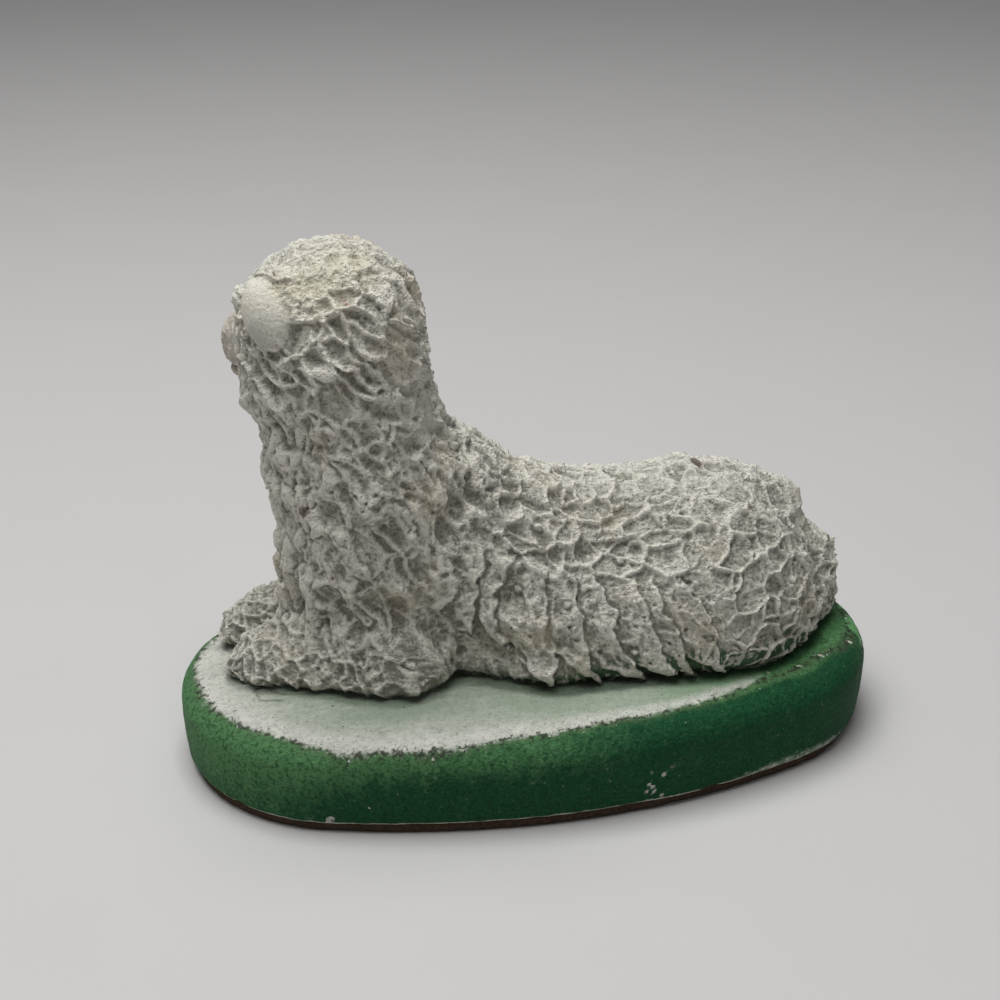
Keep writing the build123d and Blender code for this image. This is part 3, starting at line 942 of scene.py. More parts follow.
def hanging_locks(p, along, arc):
    """Long locks of the lower flank, in mm: they sweep down and to the rear and overlap like tiles.

    Across a lock the height grows from its front edge to its rear edge and then drops. A ragged lip runs
    along the rear edge, and below the slanting tip the face falls back. The edges lie at uneven distances.
    """
    relief = group("relief")
    pitch, step = mm(relief.hang_pitch), mm(relief.hang_step)
    fall = np.clip((arc - HANG.top) / (HANG.tip - HANG.top), 0, HANG.end)
    back = along - HANG.sweep * fall**HANG.sweep_power
    u = (back + HANG.narrower * np.maximum(back, 0) ** 2) / pitch + layered(p, HANG_RAGGED)

    def border(number):
        return number + HANG.uneven * (luck(number[:, None], HANG.edge_seed, 1)[:, 0] - 0.5)

    cell = np.floor(u)
    lock = cell - (u < border(cell)) + (u >= border(cell + 1))
    front, rear = border(lock), border(lock + 1)
    f = (u - front) / (rear - front)
    wide = (rear - front) * pitch
    mine, before = luck(lock[:, None], HANG.seed, 2), luck(lock[:, None] - 1, HANG.seed, 2)
    past = smooth(0, HANG.drop_width, f * wide)
    dropping = HANG.drop * (1 - past) * (HANG.least + before[:, 0])
    height = step * (dropping + (f - HANG.level) * past * (HANG.least + mine[:, 0]))
    lip = crest((1 - f) * wide, HANG.lip_width) + 1 - past
    height += HANG.lip * lip * (HANG.lip_mean + layered(p, HANG.lip_wear))
    tip = HANG.tip - HANG.slant * (1 - f) ** HANG.slant_power + HANG.tip_spread * (mine[:, 1] - 0.5)
    tip += layered(p, HANG.tip_ragged)
    beyond = smooth(0, HANG.fall_width, arc - tip)
    return height * (1 - beyond) - HANG.fall * beyond


def bead(away, size):
    """A bead of plaster, by the distance from its middle: a dome that stands in a shallow moat."""
    away = away / size
    moat = np.exp(-((away - BEAD.moat_at) ** 2) / BEAD.moat_spread)
    return smooth(*BEAD.dome, away) * size - BEAD.moat * moat


def bubbles(p):
    """Marks of air in the mould, in mm: pinholes, wider pocks, and beads that stand in a shallow moat."""
    sunk = 0
    for spacing, seed, least, spread, share, deep in AIR_HOLES:
        near, _, mine, _ = nearest_seeds(p / spacing, seed)
        size = least + spread * redrawn(mine, 7.31)
        sunk = sunk + deep * smooth(size * 1.5, size * 0.5, length(near) * spacing) * (mine < share)
    small = SMALL_BEADS
    near, _, mine, _ = nearest_seeds(p / small.spacing, small.seed)
    size = small.least + small.spread * redrawn(mine, 9.17)
    raised = bead(length(near) * small.spacing, size) * (mine < small.share)
    fields = make_fields()
    for *place, size in BEADS:
        offset = p - place
        out = slope(lambda v: joined(fields, v), np.array([place]))[0]
        across = length(offset - (offset @ out)[:, None] * out)
        raised = np.where(length(offset) < BEAD.reach, np.maximum(raised, bead(across, size)), raised)
    return raised - mm(group("relief").pinhole) * sunk


def ear_lobe(p, face):
    """Place on the lobe of the nearer ear: share of its half sizes from its middle, and mm below that."""
    _, _, left, _ = head_frame()
    share, drop = np.full(len(p), FAR), np.zeros(len(p))
    for _, side in SIDES:
        place, hang, _, forward = ear_frame(side)
        offset = p - place - hang * LOBE.drop
        own = np.hypot(offset @ hang / LOBE.half[0], offset @ forward / LOBE.half[1])
        mine = (offset @ left * -side > LOBE.inward) & (own < share)
        share, drop = np.where(mine, own, share), np.where(mine, offset @ hang, drop)
    return np.where(face["ear"] < LOBE.within, share, FAR), drop


def baldness(p, face, lobe):
    """How bald each point is, from 0 to 1: the most of muzzle, ears' lobes and front of the face."""
    middle, facing, _, crown = head_frame()
    ahead, up = (p - middle) @ facing, (p - middle) @ crown
    aside = length(p - middle - ahead[:, None] * facing)
    on_lobe = smooth(*LOBE.edge, lobe + layered(p, (LOBE.ragged,)))
    on_face = smooth(*BARE_FACE.ahead, ahead) * smooth(*BARE_FACE.aside, aside) * smooth(*BARE_FACE.up, up)
    return np.max([smooth(*BARE_MUZZLE, face["muzzle"]), on_lobe, on_face], axis=0)


def eye_bumps(p):
    """Height of the bumps of the eyes: a bell round each eye, less a ring round the bell."""
    middle, facing, left, crown = head_frame()
    height = 0
    for _, side in SIDES:
        away = length(p - middle - facing * EYE.ahead - left * EYE.aside * side - crown * EYE.up)
        height = height + EYE.rise * bell(away, EYE.half) - EYE.moat * bell(away - EYE.moat_at, EYE.moat_half)
    return height


def small_locks(p, q, along, around, weights):
    """Relief of all the small and hanging locks: each patch's own, times its share of the point."""
    relief = group("relief")
    ridge, width, scoop, step = (mm(getattr(relief, n)) for n in ("ridge", "ridge_width", "scoop", "step"))
    ridge = ridge * np.maximum(RIDGE_MEAN + layered(p, RIDGE_WEAR), RIDGE_LEAST)
    height = weights["hang"] * hanging_locks(p, along, np.abs(around) * TRUNK_ARC)
    for name, lock in LOCKS.items():
        used = weights[name] > LEAST_WEIGHT
        if used.any():
            cells, size = lock_cells(lock, q[used], along[used], around[used])
            sizes = (lock.ridge * ridge[used], lock.width * width, lock.scoop * scoop, lock.step * step)
            height[used] += pockets(cells, size, lock.seed, np.array(lock.tilt), *sizes) * weights[name][used]
    return height


def fleece(p, face):
    """Height of the fleece at each point, in mm, and how bald the point is, from 0 to 1.

    Each part of the body has its own pattern of locks, and they pass into each other where parts meet. Points
    sway before they meet the patterns. Crags, tufts, hollows and marks of air are added, high crests are
    halved, bald plaster keeps only the broad swells and some grain, and the face's own bumps come last.
    """
    q = p + np.stack([layered(p, SWAY, axis) for axis in range(3)], 1)
    along, around = spine_place(q)
    weights, on_body, on_hang = patches(p, q, face, along, around)
    height = small_locks(p, q, along, around, weights)
    rough = CRAGS.rise + sum(rise * weights[name] for name, rise in CRAGS_MORE.items())
    height += rough * crags(stretched(p, CRAGS.way, CRAGS.size, CRAGS.pull)[0], CRAGS.seed)
    height += HANG_CRAGS.rise * on_hang * crags(p / HANG_CRAGS.size, HANG_CRAGS.seed)
    for name, rise, size, seed in TUFTS:
        height += rise * weights[name] * wool_noise(p, size, seed)
    height *= 1 - SPINE_WEAR * on_body * smooth(*SPINE_REACH, np.abs(around) * TRUNK_ARC)
    height += bubbles(p) - main_hollows(q)
    worn = CREST_LIMIT + CREST_SHARE * (height - CREST_LIMIT)
    height = np.where(height > CREST_LIMIT, worn, height)

    fine = FINE_CRAGS.rise * crags(p / FINE_CRAGS.size, FINE_CRAGS.seed) + layered(p, FINE_GRAIN)
    fine *= 1 + sum(more * weights[name] for name, more in FINE_MORE.items())
    lumps = mm(group("relief").lump) * layered(p, LUMPS)
    for *place, radius, rise in SWELLS:
        lumps += rise * bell(length(p - place), radius)
    lobe, drop = ear_lobe(p, face)
    bald = baldness(p, face, lobe)
    fine *= 1 - (1 - BALD_FINE) * bald
    lumps *= 1 - (1 - BALD_LUMPS) * bald
    height = (1 - bald) * height + fine + lumps
    hanging = smooth(*LOBE.hang, drop)
    height += LOBE.rise * np.maximum(1 - lobe**2, 0) ** (1 - LOBE.flatter * hanging)
    height -= LOBE.groove * hanging * bell(lobe - LOBE.groove_at, LOBE.groove_half)
    return height + eye_bumps(p), bald


def grid_mean(value, shape, reach):
    """Mean of a grid over a square window, from running sums; columns go round and rows stop at the ends."""
    grid = value.reshape(shape)
    window = 2 * reach + 1
    grid = np.concatenate([np.repeat(grid[:1], reach + 1, 0), grid, np.repeat(grid[-1:], reach, 0)])
    total = np.cumsum(grid, axis=0)
    grid = (total[window:] - total[:-window]) / window
    grid = np.concatenate([grid[:, -reach - 1:], grid, grid[:, :reach]], axis=1)
    total = np.cumsum(grid, axis=1)
    return ((total[:, window:] - total[:, :-window]) / window).ravel()


def relief_grime_and_painted_light(height, shape):
    """How pale the plaster is painted, from 0 to 1: high where it stands above the face near by and further
    round, a painted highlight, and low in hollows, grime and painted shade.
    """
    near = height - grid_mean(height, shape, TONE.near_reach)
    far = height - grid_mean(grid_mean(height, shape, TONE.far_reach), shape, TONE.far_reach)
    return np.clip(TONE.mean + near / TONE.near + far / TONE.far, 0, 1)


def painted_light_by_place(p, bald):
    """How much paler the plaster is painted by its place, as painted light and shade.

    The tops of the ears, the chest and the nape are painted paler as painted light; the ears' tips are
    painted darker as painted shade, and the forelegs are greyer.
    """
    x, high = p[:, 0], p[:, 2] - SEAT
    # Ear tops paler and ear tips darker: painted light and painted shade
    ears = TONE.ear_top * smooth(*TONE.ear_top_high, high) - TONE.ear_tip * smooth(*TONE.ear_tip_high, high)
    front = smooth(*TONE.front, x) * (TONE.chest * smooth(*TONE.chest_high, high) - TONE.forelegs)
    nape = smooth(*TONE.nape_x, x) * smooth(*TONE.nape_low, high) * smooth(*TONE.nape_high, high)
    return bald * ears + front + TONE.nape * nape + TONE.all


def wool_piece(node, start, end, up):
    """Puts one woolly form in place of its node: its grid of rays, raised along its normals by the fleece.

    It is sunk where it runs under its neighbours, and rolled in where it meets the plinth.
    """
    points, normals, face, shape = form_grid(node, start, end, up)
    height, bald = fleece(points, face)
    pale = relief_grime_and_painted_light(height, shape) + painted_light_by_place(points, bald)
    ground = points[:, 2] - plinth_top(points[:, 0], points[:, 1])
    sunk = DIVE * smooth(*DIVE_RANGE, face["hidden"])
    roll = ROLL * smooth(*ROLL_ABOVE, ground) * smooth(*ROLL_BELOW, ground)
    moved = points + normals * (height - sunk - roll)[:, None]
    moved[:, 2] = np.maximum(moved[:, 2], ROOT_PLANE - ROOT_MARGIN)
    rearward = smooth(*STAIN.rear, points[:, 0])
    low = smooth(STAIN.front_top + STAIN.rear_top * rearward, STAIN.full, ground)
    stain = low * (STAIN.least + STAIN.more * rearward) * smooth(*STAIN.pale, pale)
    marks = {
        "pale": pale,
        "stain": np.clip(stain, 0, 1),
        "shade": smooth(*CONTACT_SHADE, ground),
        "bald": bald,
        "brown": spots(moved, BROWN_SPOTS),
        "red": spots(moved, RED_TRACE),
        "yellow": spots(moved, YELLOW_PATCH),
    }
    piece = face_mesh(node + "_cast", moved, shape, marks)
    settle(piece, node, plaster_finish())


# Finishes


def shade(colour, factor):
    """A colour times a factor, or times a factor for each channel."""
    return tuple(np.multiply(colour, factor))


def blend(a, b, share):
    """The colour that lies a share of the way from a to b."""
    return tuple(np.multiply(a, 1 - share) + np.multiply(b, share))


class Finish:
    """One procedural material on Object coordinates, built up node by node."""

    def __init__(self, name):
        self.material = bpy.data.materials.new(name)
        self.material.use_nodes = True
        self.nodes, self.links = self.material.node_tree.nodes, self.material.node_tree.links
        self.nodes.clear()
        self.place = self.add("TexCoord").outputs["Object"]

    def add(self, kind, inputs=None, **settings):
        """A new node, with its settings made and its inputs set or linked."""
        node = self.nodes.new("ShaderNode" + kind)
        for key, value in settings.items():
            setattr(node, key, value)
        for key, value in (inputs or {}).items():
            if isinstance(value, bpy.types.NodeSocket):
                self.links.new(value, node.inputs[key])
            else:
                node.inputs[key].default_value = value
        return node

    def noise(self, scale, detail=2.0, rough=0.55, stretch=None):
        """Noise about 0.5, with its scale per metre; it is drawn out where a direction's stretch is small."""
        where = self.place
        if stretch:
            where = self.add("Mapping", {"Vector": where, "Scale": stretch}).outputs[0]
        inputs = {"Vector": where, "Scale": scale, "Detail": detail, "Roughness": rough}
        return self.add("TexNoise", inputs).outputs["Fac"]

    def read(self, label):
        """An attribute of the mesh."""
        return self.add("Attribute", attribute_name=label).outputs["Fac"]

    def plus(self, a, b, clamp=False):
        """Sum of two values."""
        return self.add("Math", {0: a, 1: b}, operation="ADD", use_clamp=clamp).outputs[0]

    def times(self, a, b, clamp=False):
        """Product of two values."""
        return self.add("Math", {0: a, 1: b}, operation="MULTIPLY", use_clamp=clamp).outputs[0]

    def about(self, noise, reach=1.0):
        """Noise about 0: its difference from 0.5 times a reach."""
        return self.times(self.plus(noise, -0.5), reach)

    def step(self, value, low, high):
        """Smooth step from 0 at low to 1 at high."""
        inputs = {"Value": value, 1: low, 2: high}
        return self.add("MapRange", inputs, interpolation_type="SMOOTHSTEP").outputs[0]

    def ramp(self, value, *stops):
        """A colour by value, through stops in rising order, each a value and a colour."""
        made = self.add("ValToRGB", {"Fac": value})
        elements = made.color_ramp.elements
        first, *middle, last = stops
        for i, (at, colour) in enumerate((first, last, *middle)):
            element = elements[i] if i < 2 else elements.new(at)
            element.position = at
            element.color = (*colour, 1)
        return made.outputs["Color"]

    def cover(self, colour, share, top, strength=None):
        """A colour with a share of another over it, or that share times a strength."""
        if strength is not None:
            share = self.times(share, strength)
        under, over = (c if isinstance(c, bpy.types.NodeSocket) else (*c, 1) for c in (colour, top))
        return self.add("Mix", {0: share, 6: under, 7: over}, data_type="RGBA").outputs[2]

    def bump(self, height, strength, depth):
        """Normals tilted by a height, with its depth in metres."""
        return self.add("Bump", {"Height": height, "Strength": strength, "Distance": depth}).outputs[0]

    def done(self, colour, roughness, normal, specular):
        """The finished material."""
        inputs = {"Base Color": colour, "Roughness": roughness, "Normal": normal}
        shader = self.add("BsdfPrincipled", inputs | {"Specular IOR Level": specular})
        self.add("OutputMaterial", {"Surface": shader.outputs[0]})
        return self.material


def plaster_finish():
    """Weathered plaster of the fleece: pale crests as painted highlight, hollows greyed by grime and painted
    shade, fine grain, and pits darkened as painted shade.

    Over these lie warm clouds, a yellowed patch, a rusty trace, brown specks, green overspray near the plinth
    and a dark line of green paint and painted shade where the fleece meets it.
    """
    if "weathered_plaster" in bpy.data.materials:
        return bpy.data.materials["weathered_plaster"]
    paint = group("paint")
    f = Finish("weathered_plaster")
    pale, hollow = tuple(paint.ridge), tuple(paint.hollow)
    between = blend(pale, hollow, 0.55)
    grain = f.noise(1900, detail=3.0, rough=0.6)
    mottle = f.noise(140, detail=3.0, rough=0.6)
    pits = f.step(f.noise(3300, rough=0.5), 0.38, 0.28)
    coarse = f.plus(1.0, f.times(f.read("bald"), -0.5))
    tone = f.plus(f.read("pale"), f.times(f.about(grain, 1.6), coarse))
    # Pits darkened in colour: painted shade in the pits
    tone = f.plus(tone, f.times(pits, -0.4))
    tone = f.plus(tone, f.about(mottle, 0.35))
    # The ramp runs from hollows darkened by grime and painted shade to crests paled as painted highlight
    dark, bright = shade(hollow, 0.62), shade(pale, 1.08)
    colour = f.ramp(tone, (0.0, dark), (0.30, hollow), (0.55, between), (0.80, pale), (1.0, bright))
    warm = f.step(f.noise(90), 0.52, 0.72)
    colour = f.cover(colour, warm, shade(between, (1.08, 1.0, 0.82)), strength=0.4)
    colour = f.cover(colour, f.read("yellow"), shade(pale, (1.0, 0.94, 0.66)), strength=0.28)
    rust = f.step(f.plus(f.read("red"), f.about(grain)), 0.35, 0.8)
    colour = f.cover(colour, rust, paint.rust, strength=0.6)
    specks = f.step(f.noise(620, rough=0.5), 0.73, 0.80)
    traces = f.step(f.plus(f.read("brown"), f.about(grain)), 0.45, 0.7)
    colour = f.cover(colour, f.plus(specks, traces, clamp=True), paint.soil, strength=0.75)
    spray = f.step(f.plus(f.read("stain"), f.about(f.noise(700, detail=4.0, rough=0.7), 1.3)), 0.3, 0.8)
    colour = f.cover(colour, spray, blend(paint.green, paint.deep, 0.7), strength=0.85)
    # Dark line at the plinth: green paint and painted shade
    colour = f.cover(colour, f.step(f.read("shade"), 0.35, 1.0), paint.contact_shade, strength=0.7)
    normal = f.bump(f.plus(grain, f.times(pits, -0.7)), coarse, 0.00065)
    return f.done(colour, f.plus(0.78, f.times(mottle, 0.14)), normal, specular=0.25)


def face_finish():
    """Plaster of the face with a faded pink nose and mouth, and brown in the creases."""
    paint = group("paint")
    f = Finish("painted_face")
    grain = f.noise(1700, detail=3.0, rough=0.6)
    # Paler on raised plaster and greyer in the hollows: grime, painted highlight and painted shade
    colour = f.ramp(f.plus(f.read("pale"), f.about(grain, 0.4)), (0.1, paint.hollow), (0.8, paint.ridge))
    pink = f.step(f.plus(f.read("blush"), f.about(f.noise(300, detail=3.0), 0.8)), 0.25, 0.85)
    colour = f.cover(colour, pink, paint.blush, strength=0.5)
    brown = f.step(f.plus(f.read("crease"), f.about(f.noise(700, detail=3.0), 0.6)), 0.3, 0.9)
    colour = f.cover(colour, brown, paint.soil, strength=0.8)
    return f.done(colour, 0.8, f.bump(grain, 1.0, 0.0004), specular=0.2)


def plinth_finish():
    """Worn green paint over plaster, mixed where the paint is gone.

    The green goes from thin to thick, with dark and pale grain and a dirty brink. The bare plaster carries
    grey haze, dots and green spray. White flecks, soot, crevices dark with paint and painted shade, and a
    scratch lie over both.
    """
    paint = group("paint")
    f = Finish("worn_green_paint")
    grain = f.noise(1500, detail=3.0, rough=0.65)
    fine = f.noise(3600, rough=0.6)
    streak = f.noise(430, rough=0.5, stretch=(1.0, 1.0, 0.4))
    drawn = f.noise(330, detail=4.0, rough=0.65, stretch=(0.3, 1.0, 1.0))
    brink = f.read("brink")

    jitter = f.plus(f.about(streak, 0.6), f.about(grain))
    green = f.cover(paint.green, f.step(f.plus(f.read("deep"), jitter), 0.0, 0.95), paint.deep)
    dark = f.step(f.noise(1900, detail=3.0, rough=0.7), 0.47, 0.64)
    green = f.cover(green, dark, shade(paint.deep, 0.55), strength=0.65)
    green = f.cover(green, f.step(fine, 0.58, 0.75), shade(paint.green, 1.5), strength=0.30)
    green = f.cover(green, brink, paint.brink, strength=0.45)

    dusty = f.cover(shade(paint.bare, 0.88), f.step(f.noise(240, detail=3.0), 0.35, 0.7), paint.bare)
    cloud = f.plus(-0.4, f.plus(f.times(grain, 0.8), f.times(drawn, 1.9)))
    dusty = f.cover(dusty, f.times(f.read("haze"), cloud, clamp=True), paint.haze)
    grey = f.step(f.noise(1100, detail=4.0, rough=0.7), 0.44, 0.62)
    dusty = f.cover(dusty, grey, shade(paint.haze, 0.8), strength=0.35)
    dots = f.step(f.plus(f.noise(2300, rough=0.5), f.times(brink, 0.06)), 0.60, 0.68)
    dusty = f.cover(dusty, dots, paint.dots, strength=0.45)
    spray = f.times(f.read("spray"), f.plus(0.55, f.times(grain, 0.9)), clamp=True)
    dusty = f.cover(dusty, spray, shade(paint.green, 1.6))

    edge = f.about(f.noise(1000, detail=5.0, rough=0.75), 1.7)
    worn = f.step(f.plus(f.read("bare"), edge), 0.15, 0.88)
    colour = f.cover(green, worn, dusty)
    fleck = f.step(f.plus(f.noise(720, detail=3.0, rough=0.5), f.times(brink, 0.10)), 0.735, 0.765)
    colour = f.cover(colour, fleck, paint.bare, strength=0.8)
    soot = f.step(f.plus(f.noise(1300, detail=3.0, rough=0.6), f.times(brink, 0.20)), 0.66, 0.76)
    colour = f.cover(colour, soot, paint.soot, strength=0.8)
    # Crevice round the sheep: green paint and painted shade
    colour = f.cover(colour, f.read("crevice_paint_and_shade"), paint.crevice_paint_and_shade, strength=0.85)
    scratch = f.times(f.read("scratch"), f.times(grain, 1.2), clamp=True)
    colour = f.cover(colour, scratch, paint.scratch)
    normal = f.bump(f.plus(f.plus(grain, drawn), f.times(fine, 0.5)), 0.9, 0.0004)
    return f.done(colour, f.plus(0.62, f.times(worn, 0.25)), normal, specular=0.08)


def felt_finish():
    """Brown felt: matted fibres with paler wisps."""
    felt = group("paint").felt
    f = Finish("brown_felt")
    fibre = f.noise(2200, detail=4.0, rough=0.7)
    colour = f.ramp(fibre, (0.3, shade(felt, 0.6)), (0.75, shade(felt, 1.7)))
    return f.done(colour, 0.95, f.bump(fibre, 0.6, 0.0002), specular=0.1)


def floor_finish():
    """Pale matt floor, very slightly clouded."""
    floor = group("stage").floor
    f = Finish("pale_floor")
    colour = f.ramp(f.noise(35, detail=3.0), (0.3, shade(floor, 0.985)), (0.7, floor))
    return f.done(colour, 0.6, f.bump(f.noise(900), 0.02, 0.0001), specular=0.3)


# Plinth and pad

# How far inside the outline the green paint ends, by x, on the side of the left flank
WORN_LINE = np.array((
    (-50, 2.0), (-44, 2.5), (-40, 2.6), (-36, 1.6), (-30, 1.0), (-19, 1.5), (-6, 3.1), (8, 3.7), (24, 4.4),
    (37, 5.2), (46, 2.4), (50, 2.0),
))
FAR_WORN_LINE = 2.0
LEFT_SIDE = (6, -6)
REAR = (10, 34)
BAND = SimpleNamespace(outer=(-0.5, 0.5), inner=(4.5, 1.8), narrower=(-18, 0), rear=(31, 25))
TOP = (0.8, 2.4)

# Chips and worn places: x, y and z, or x, y, z and radius
FOOT_CHIPS = ((-38.75, -20.3, 2.4, 0.5), (-33.2, -22.9, 2.1, 0.85))
CHIP_CLUSTER = (11.2, -27.5, 4.2)
WORN_CORNER = (48.4, -4.5, 12.4)
SCUFF = SimpleNamespace(front=(20, 26), rear=(44, 38), top=(2.2, 0.5))
FOOT_LINE = SimpleNamespace(above=(0.55, 0.1), inset=(2.0, 1.2))
NICK = SimpleNamespace(
    spacing=(5.5, 5.5, 9.0), seed=61, chance=0.70, edge=(0.36, 0.10), squat=2.2, least=0.4, spread=0.8,
    above=(1.5, 0.1), inset=(3.0, 1.0),
)
FLAKE = SimpleNamespace(
    spacing=1.1, seed=75, chance=0.5, edge=(0.42, 0.25), squat=0.8, ragged=((0.18, 0.5, 77),),
    reach=(3.4, 1.2),
)
FOOT_CHIP_EDGE = (0.3, 0.55)
CHIP_DEPTH = 0.55

# What bares the plaster: the worn top, less where it is sprayed, and the shares of the other worn places
BARE = SimpleNamespace(
    past=(-1.0, 1.1), sprayed=0.62, foot=0.95, chip=1.2, cluster=1.1, scuffed=0.5, corner=0.9
)
# Grey haze, dust that thickens near the sheep as painted shade: its shares everywhere, near the sheep and
# towards the rear, and where it fades to the front
HAZE = SimpleNamespace(
    least=0.55, near=0.35, rear=0.3, rear_x=(-22, 5), front=(-44, -28), slant=0.4, band=0.85, contact_shade=0.2
)
# Thickness of the green: losses at both ends, in the scuff and on the top; paler on the shoulder as a painted
# highlight and deeper at the foot as painted shade
GREEN = SimpleNamespace(
    most=0.95, front=0.75, front_x=(-22, -49), rear=0.40, rear_x=(42, 50), scuffed=0.35,
    shoulder=0.45, shoulder_over=(-2.5, 1.5), shoulder_x=(16, -6), top=0.8, top_inset=(2.6, 4.4),
    foot=0.35, foot_over=(-1, -7), foot_loss=0.1, foot_x=(10, -10),
)
SPRAY = SimpleNamespace(haze=0.12, rear=0.95)
BRINK = SimpleNamespace(over=(-0.5, 1.5), half=0.8)
# Crevice where the sheep meets the plinth: green paint and painted shade, darker to the rear
CREVICE_PAINT_AND_SHADE = SimpleNamespace(near=(1.5, 0.1), least=0.5, rear=0.35, rear_x=(-20, 10))

# A loop scratched into the top, in x and y
SCRATCH = (
    (-37.1, -10.2), (-40.0, -8.9), (-40.4, -6.0), (-39.0, -6.1), (-38.2, -7.4), (-36.7, -8.9), (-33.5, -9.7)
)
SCRATCH_EDGE = (0.30, 0.10)

# Insets and heights of the foot's worn edge and of the pad's flat sides
FOOT_PROFILE = ((7, 0), (3, 0), (1.3, 0), (0.55, 0), (0.4, 0), (0.16, 0.14), (0.03, 0.3))
PAD_INSETS = (12.0, 4.0, 1.2)
PAD_EDGE, PAD_RIM = 0.35, (2.0, 1.0)
PLINTH_COLUMNS, PAD_COLUMNS = 860, 420
# Steps of an arc of the outline, and of the wall, the shoulder, the dome and the pad's edge
ARC_STEPS, WALL_STEPS, SHOULDER_STEPS, DOME_STEPS, PAD_STEPS = 400, 30, 16, 48, 11
WALL_START = 0.06

# Layers of noise: height, size and seed
PLINTH_WAVES = ((0.12, 7.0, 63),)
PLINTH_GRIT, GRITTY_TOP, BRINK_GRIT = ((0.04, 1.6, 65), (0.025, 0.7, 67)), (0.5, 2.4), 1.5
PAD_FUZZ, FUZZ_LOSS = ((0.10, 1.1, 81), (0.08, 5.0, 83)), 0.12


def oval_path(count):
    """Points evenly spaced round the plinth's outline, and the outward directions there."""
    end, reach, side, drop = plinth_arcs()
    lean = np.arctan2(drop, reach)
    walk = pace((-lean, lean, pi - lean, pi + lean, 2 * pi - lean), (ARC_STEPS,) * 4)
    ray = np.stack([np.cos(walk), np.sin(walk)], 1)
    on_end = np.abs(ray[:, :1]) >= np.cos(lean) - 1e-9
    middle = np.where(on_end, np.sign(ray) * (reach, 0), np.sign(ray) * (0, -drop))
    line = middle + ray * np.where(on_end, end, side)
    gone = np.concatenate([[0], np.cumsum(length(np.diff(line, axis=0)))])
    even = np.linspace(0, gone[-1], count, endpoint=False)
    angle = np.interp(even, gone, walk)
    outline = np.stack([np.interp(even, gone, line[:, i]) for i in (0, 1)], 1)
    return outline, np.stack([np.cos(angle), np.sin(angle)], 1)


def carried(profile, count, low, high):
    """A profile of insets and heights carried round the plinth's outline, and the outward directions in plan.

    The grid has one more row at either end, drawn together at a middle point.
    """
    outline, outward = oval_path(count)
    points = np.empty((len(profile) + 2, count, 3))
    points[1:-1, :, :2] = outline[None] - outward[None] * profile[:, 0][:, None, None]
    points[1:-1, :, 2] = profile[:, 1][:, None]
    points[0], points[-1] = (0, 0, low), (0, 0, high)
    return points, outward


def stroke(p, line):
    """Distance in plan from each point to the nearest of a line's straight parts."""
    away = np.full(len(p), FAR)
    for start, end in zip(np.array(line), np.array(line[1:])):
        run = end - start
        share = np.clip((p[:, :2] - start) @ run / (run @ run), 0, 1)
        away = np.minimum(away, length(p[:, :2] - start - share[:, None] * run))
    return away


def plinth_profile():
    """Section of the plinth from the middle of its foot to the edge of its level top: inset and height.

    The wall draws in as the square of the share left to its top, the shoulder is an arc, and the dome
    rises as share times (2 - share).
    """
    forms = group("forms")
    radius, wall, lean = mm(forms.shoulder_radius), mm(forms.wall_height), mm(forms.wall_lean)
    foot = np.array(FOOT_PROFILE) + (lean, 0)
    share = np.linspace(WALL_START, 1, WALL_STEPS, endpoint=False)
    upright = np.stack([lean * (1 - share) ** 2, wall * share], 1)
    turn = np.linspace(0, SHOULDER_TURN, SHOULDER_STEPS)
    shoulder = np.stack([radius * (1 - np.cos(turn)), wall + radius * np.sin(turn)], 1)
    share = np.linspace(0, 1, DOME_STEPS)[1:, None]
    rise = SEAT - PAD_TOP - shoulder[-1, 1]
    dome = shoulder[-1] + np.concatenate([share * mm(forms.dome_run), rise * share * (2 - share)], 1)
    return np.concatenate([foot, upright, shoulder, dome]) + (0, PAD_TOP)


def plinth_chips(p, above, inset, ripple):
    """Chips along the plinth's foot and a cluster of small flakes on its wall, each from 0 to 1.

    A chip or a flake is a step by the distance to the nearest of some scattered seeds, for lucky seeds only.
    """
    nick, _, chance, _ = nearest_seeds(p / NICK.spacing, NICK.seed)
    low = smooth(*NICK.above, above) * smooth(*NICK.inset, inset)
    away = length(nick * (1, 1, NICK.squat)) / (NICK.least + NICK.spread * chance)
    chip = smooth(*NICK.edge, away) * (chance > NICK.chance) * low
    chip = np.maximum(chip, smooth(*FOOT_CHIP_EDGE, spots(p, FOOT_CHIPS) + 0.15 * ripple))
    flake, _, chance, _ = nearest_seeds(p / FLAKE.spacing, FLAKE.seed)
    broken = smooth(*FLAKE.edge, length(flake) + layered(p, FLAKE.ragged)) * (chance < FLAKE.chance)
    return chip, broken * smooth(*FLAKE.reach, length((p - CHIP_CLUSTER) * (1, 1, FLAKE.squat)))


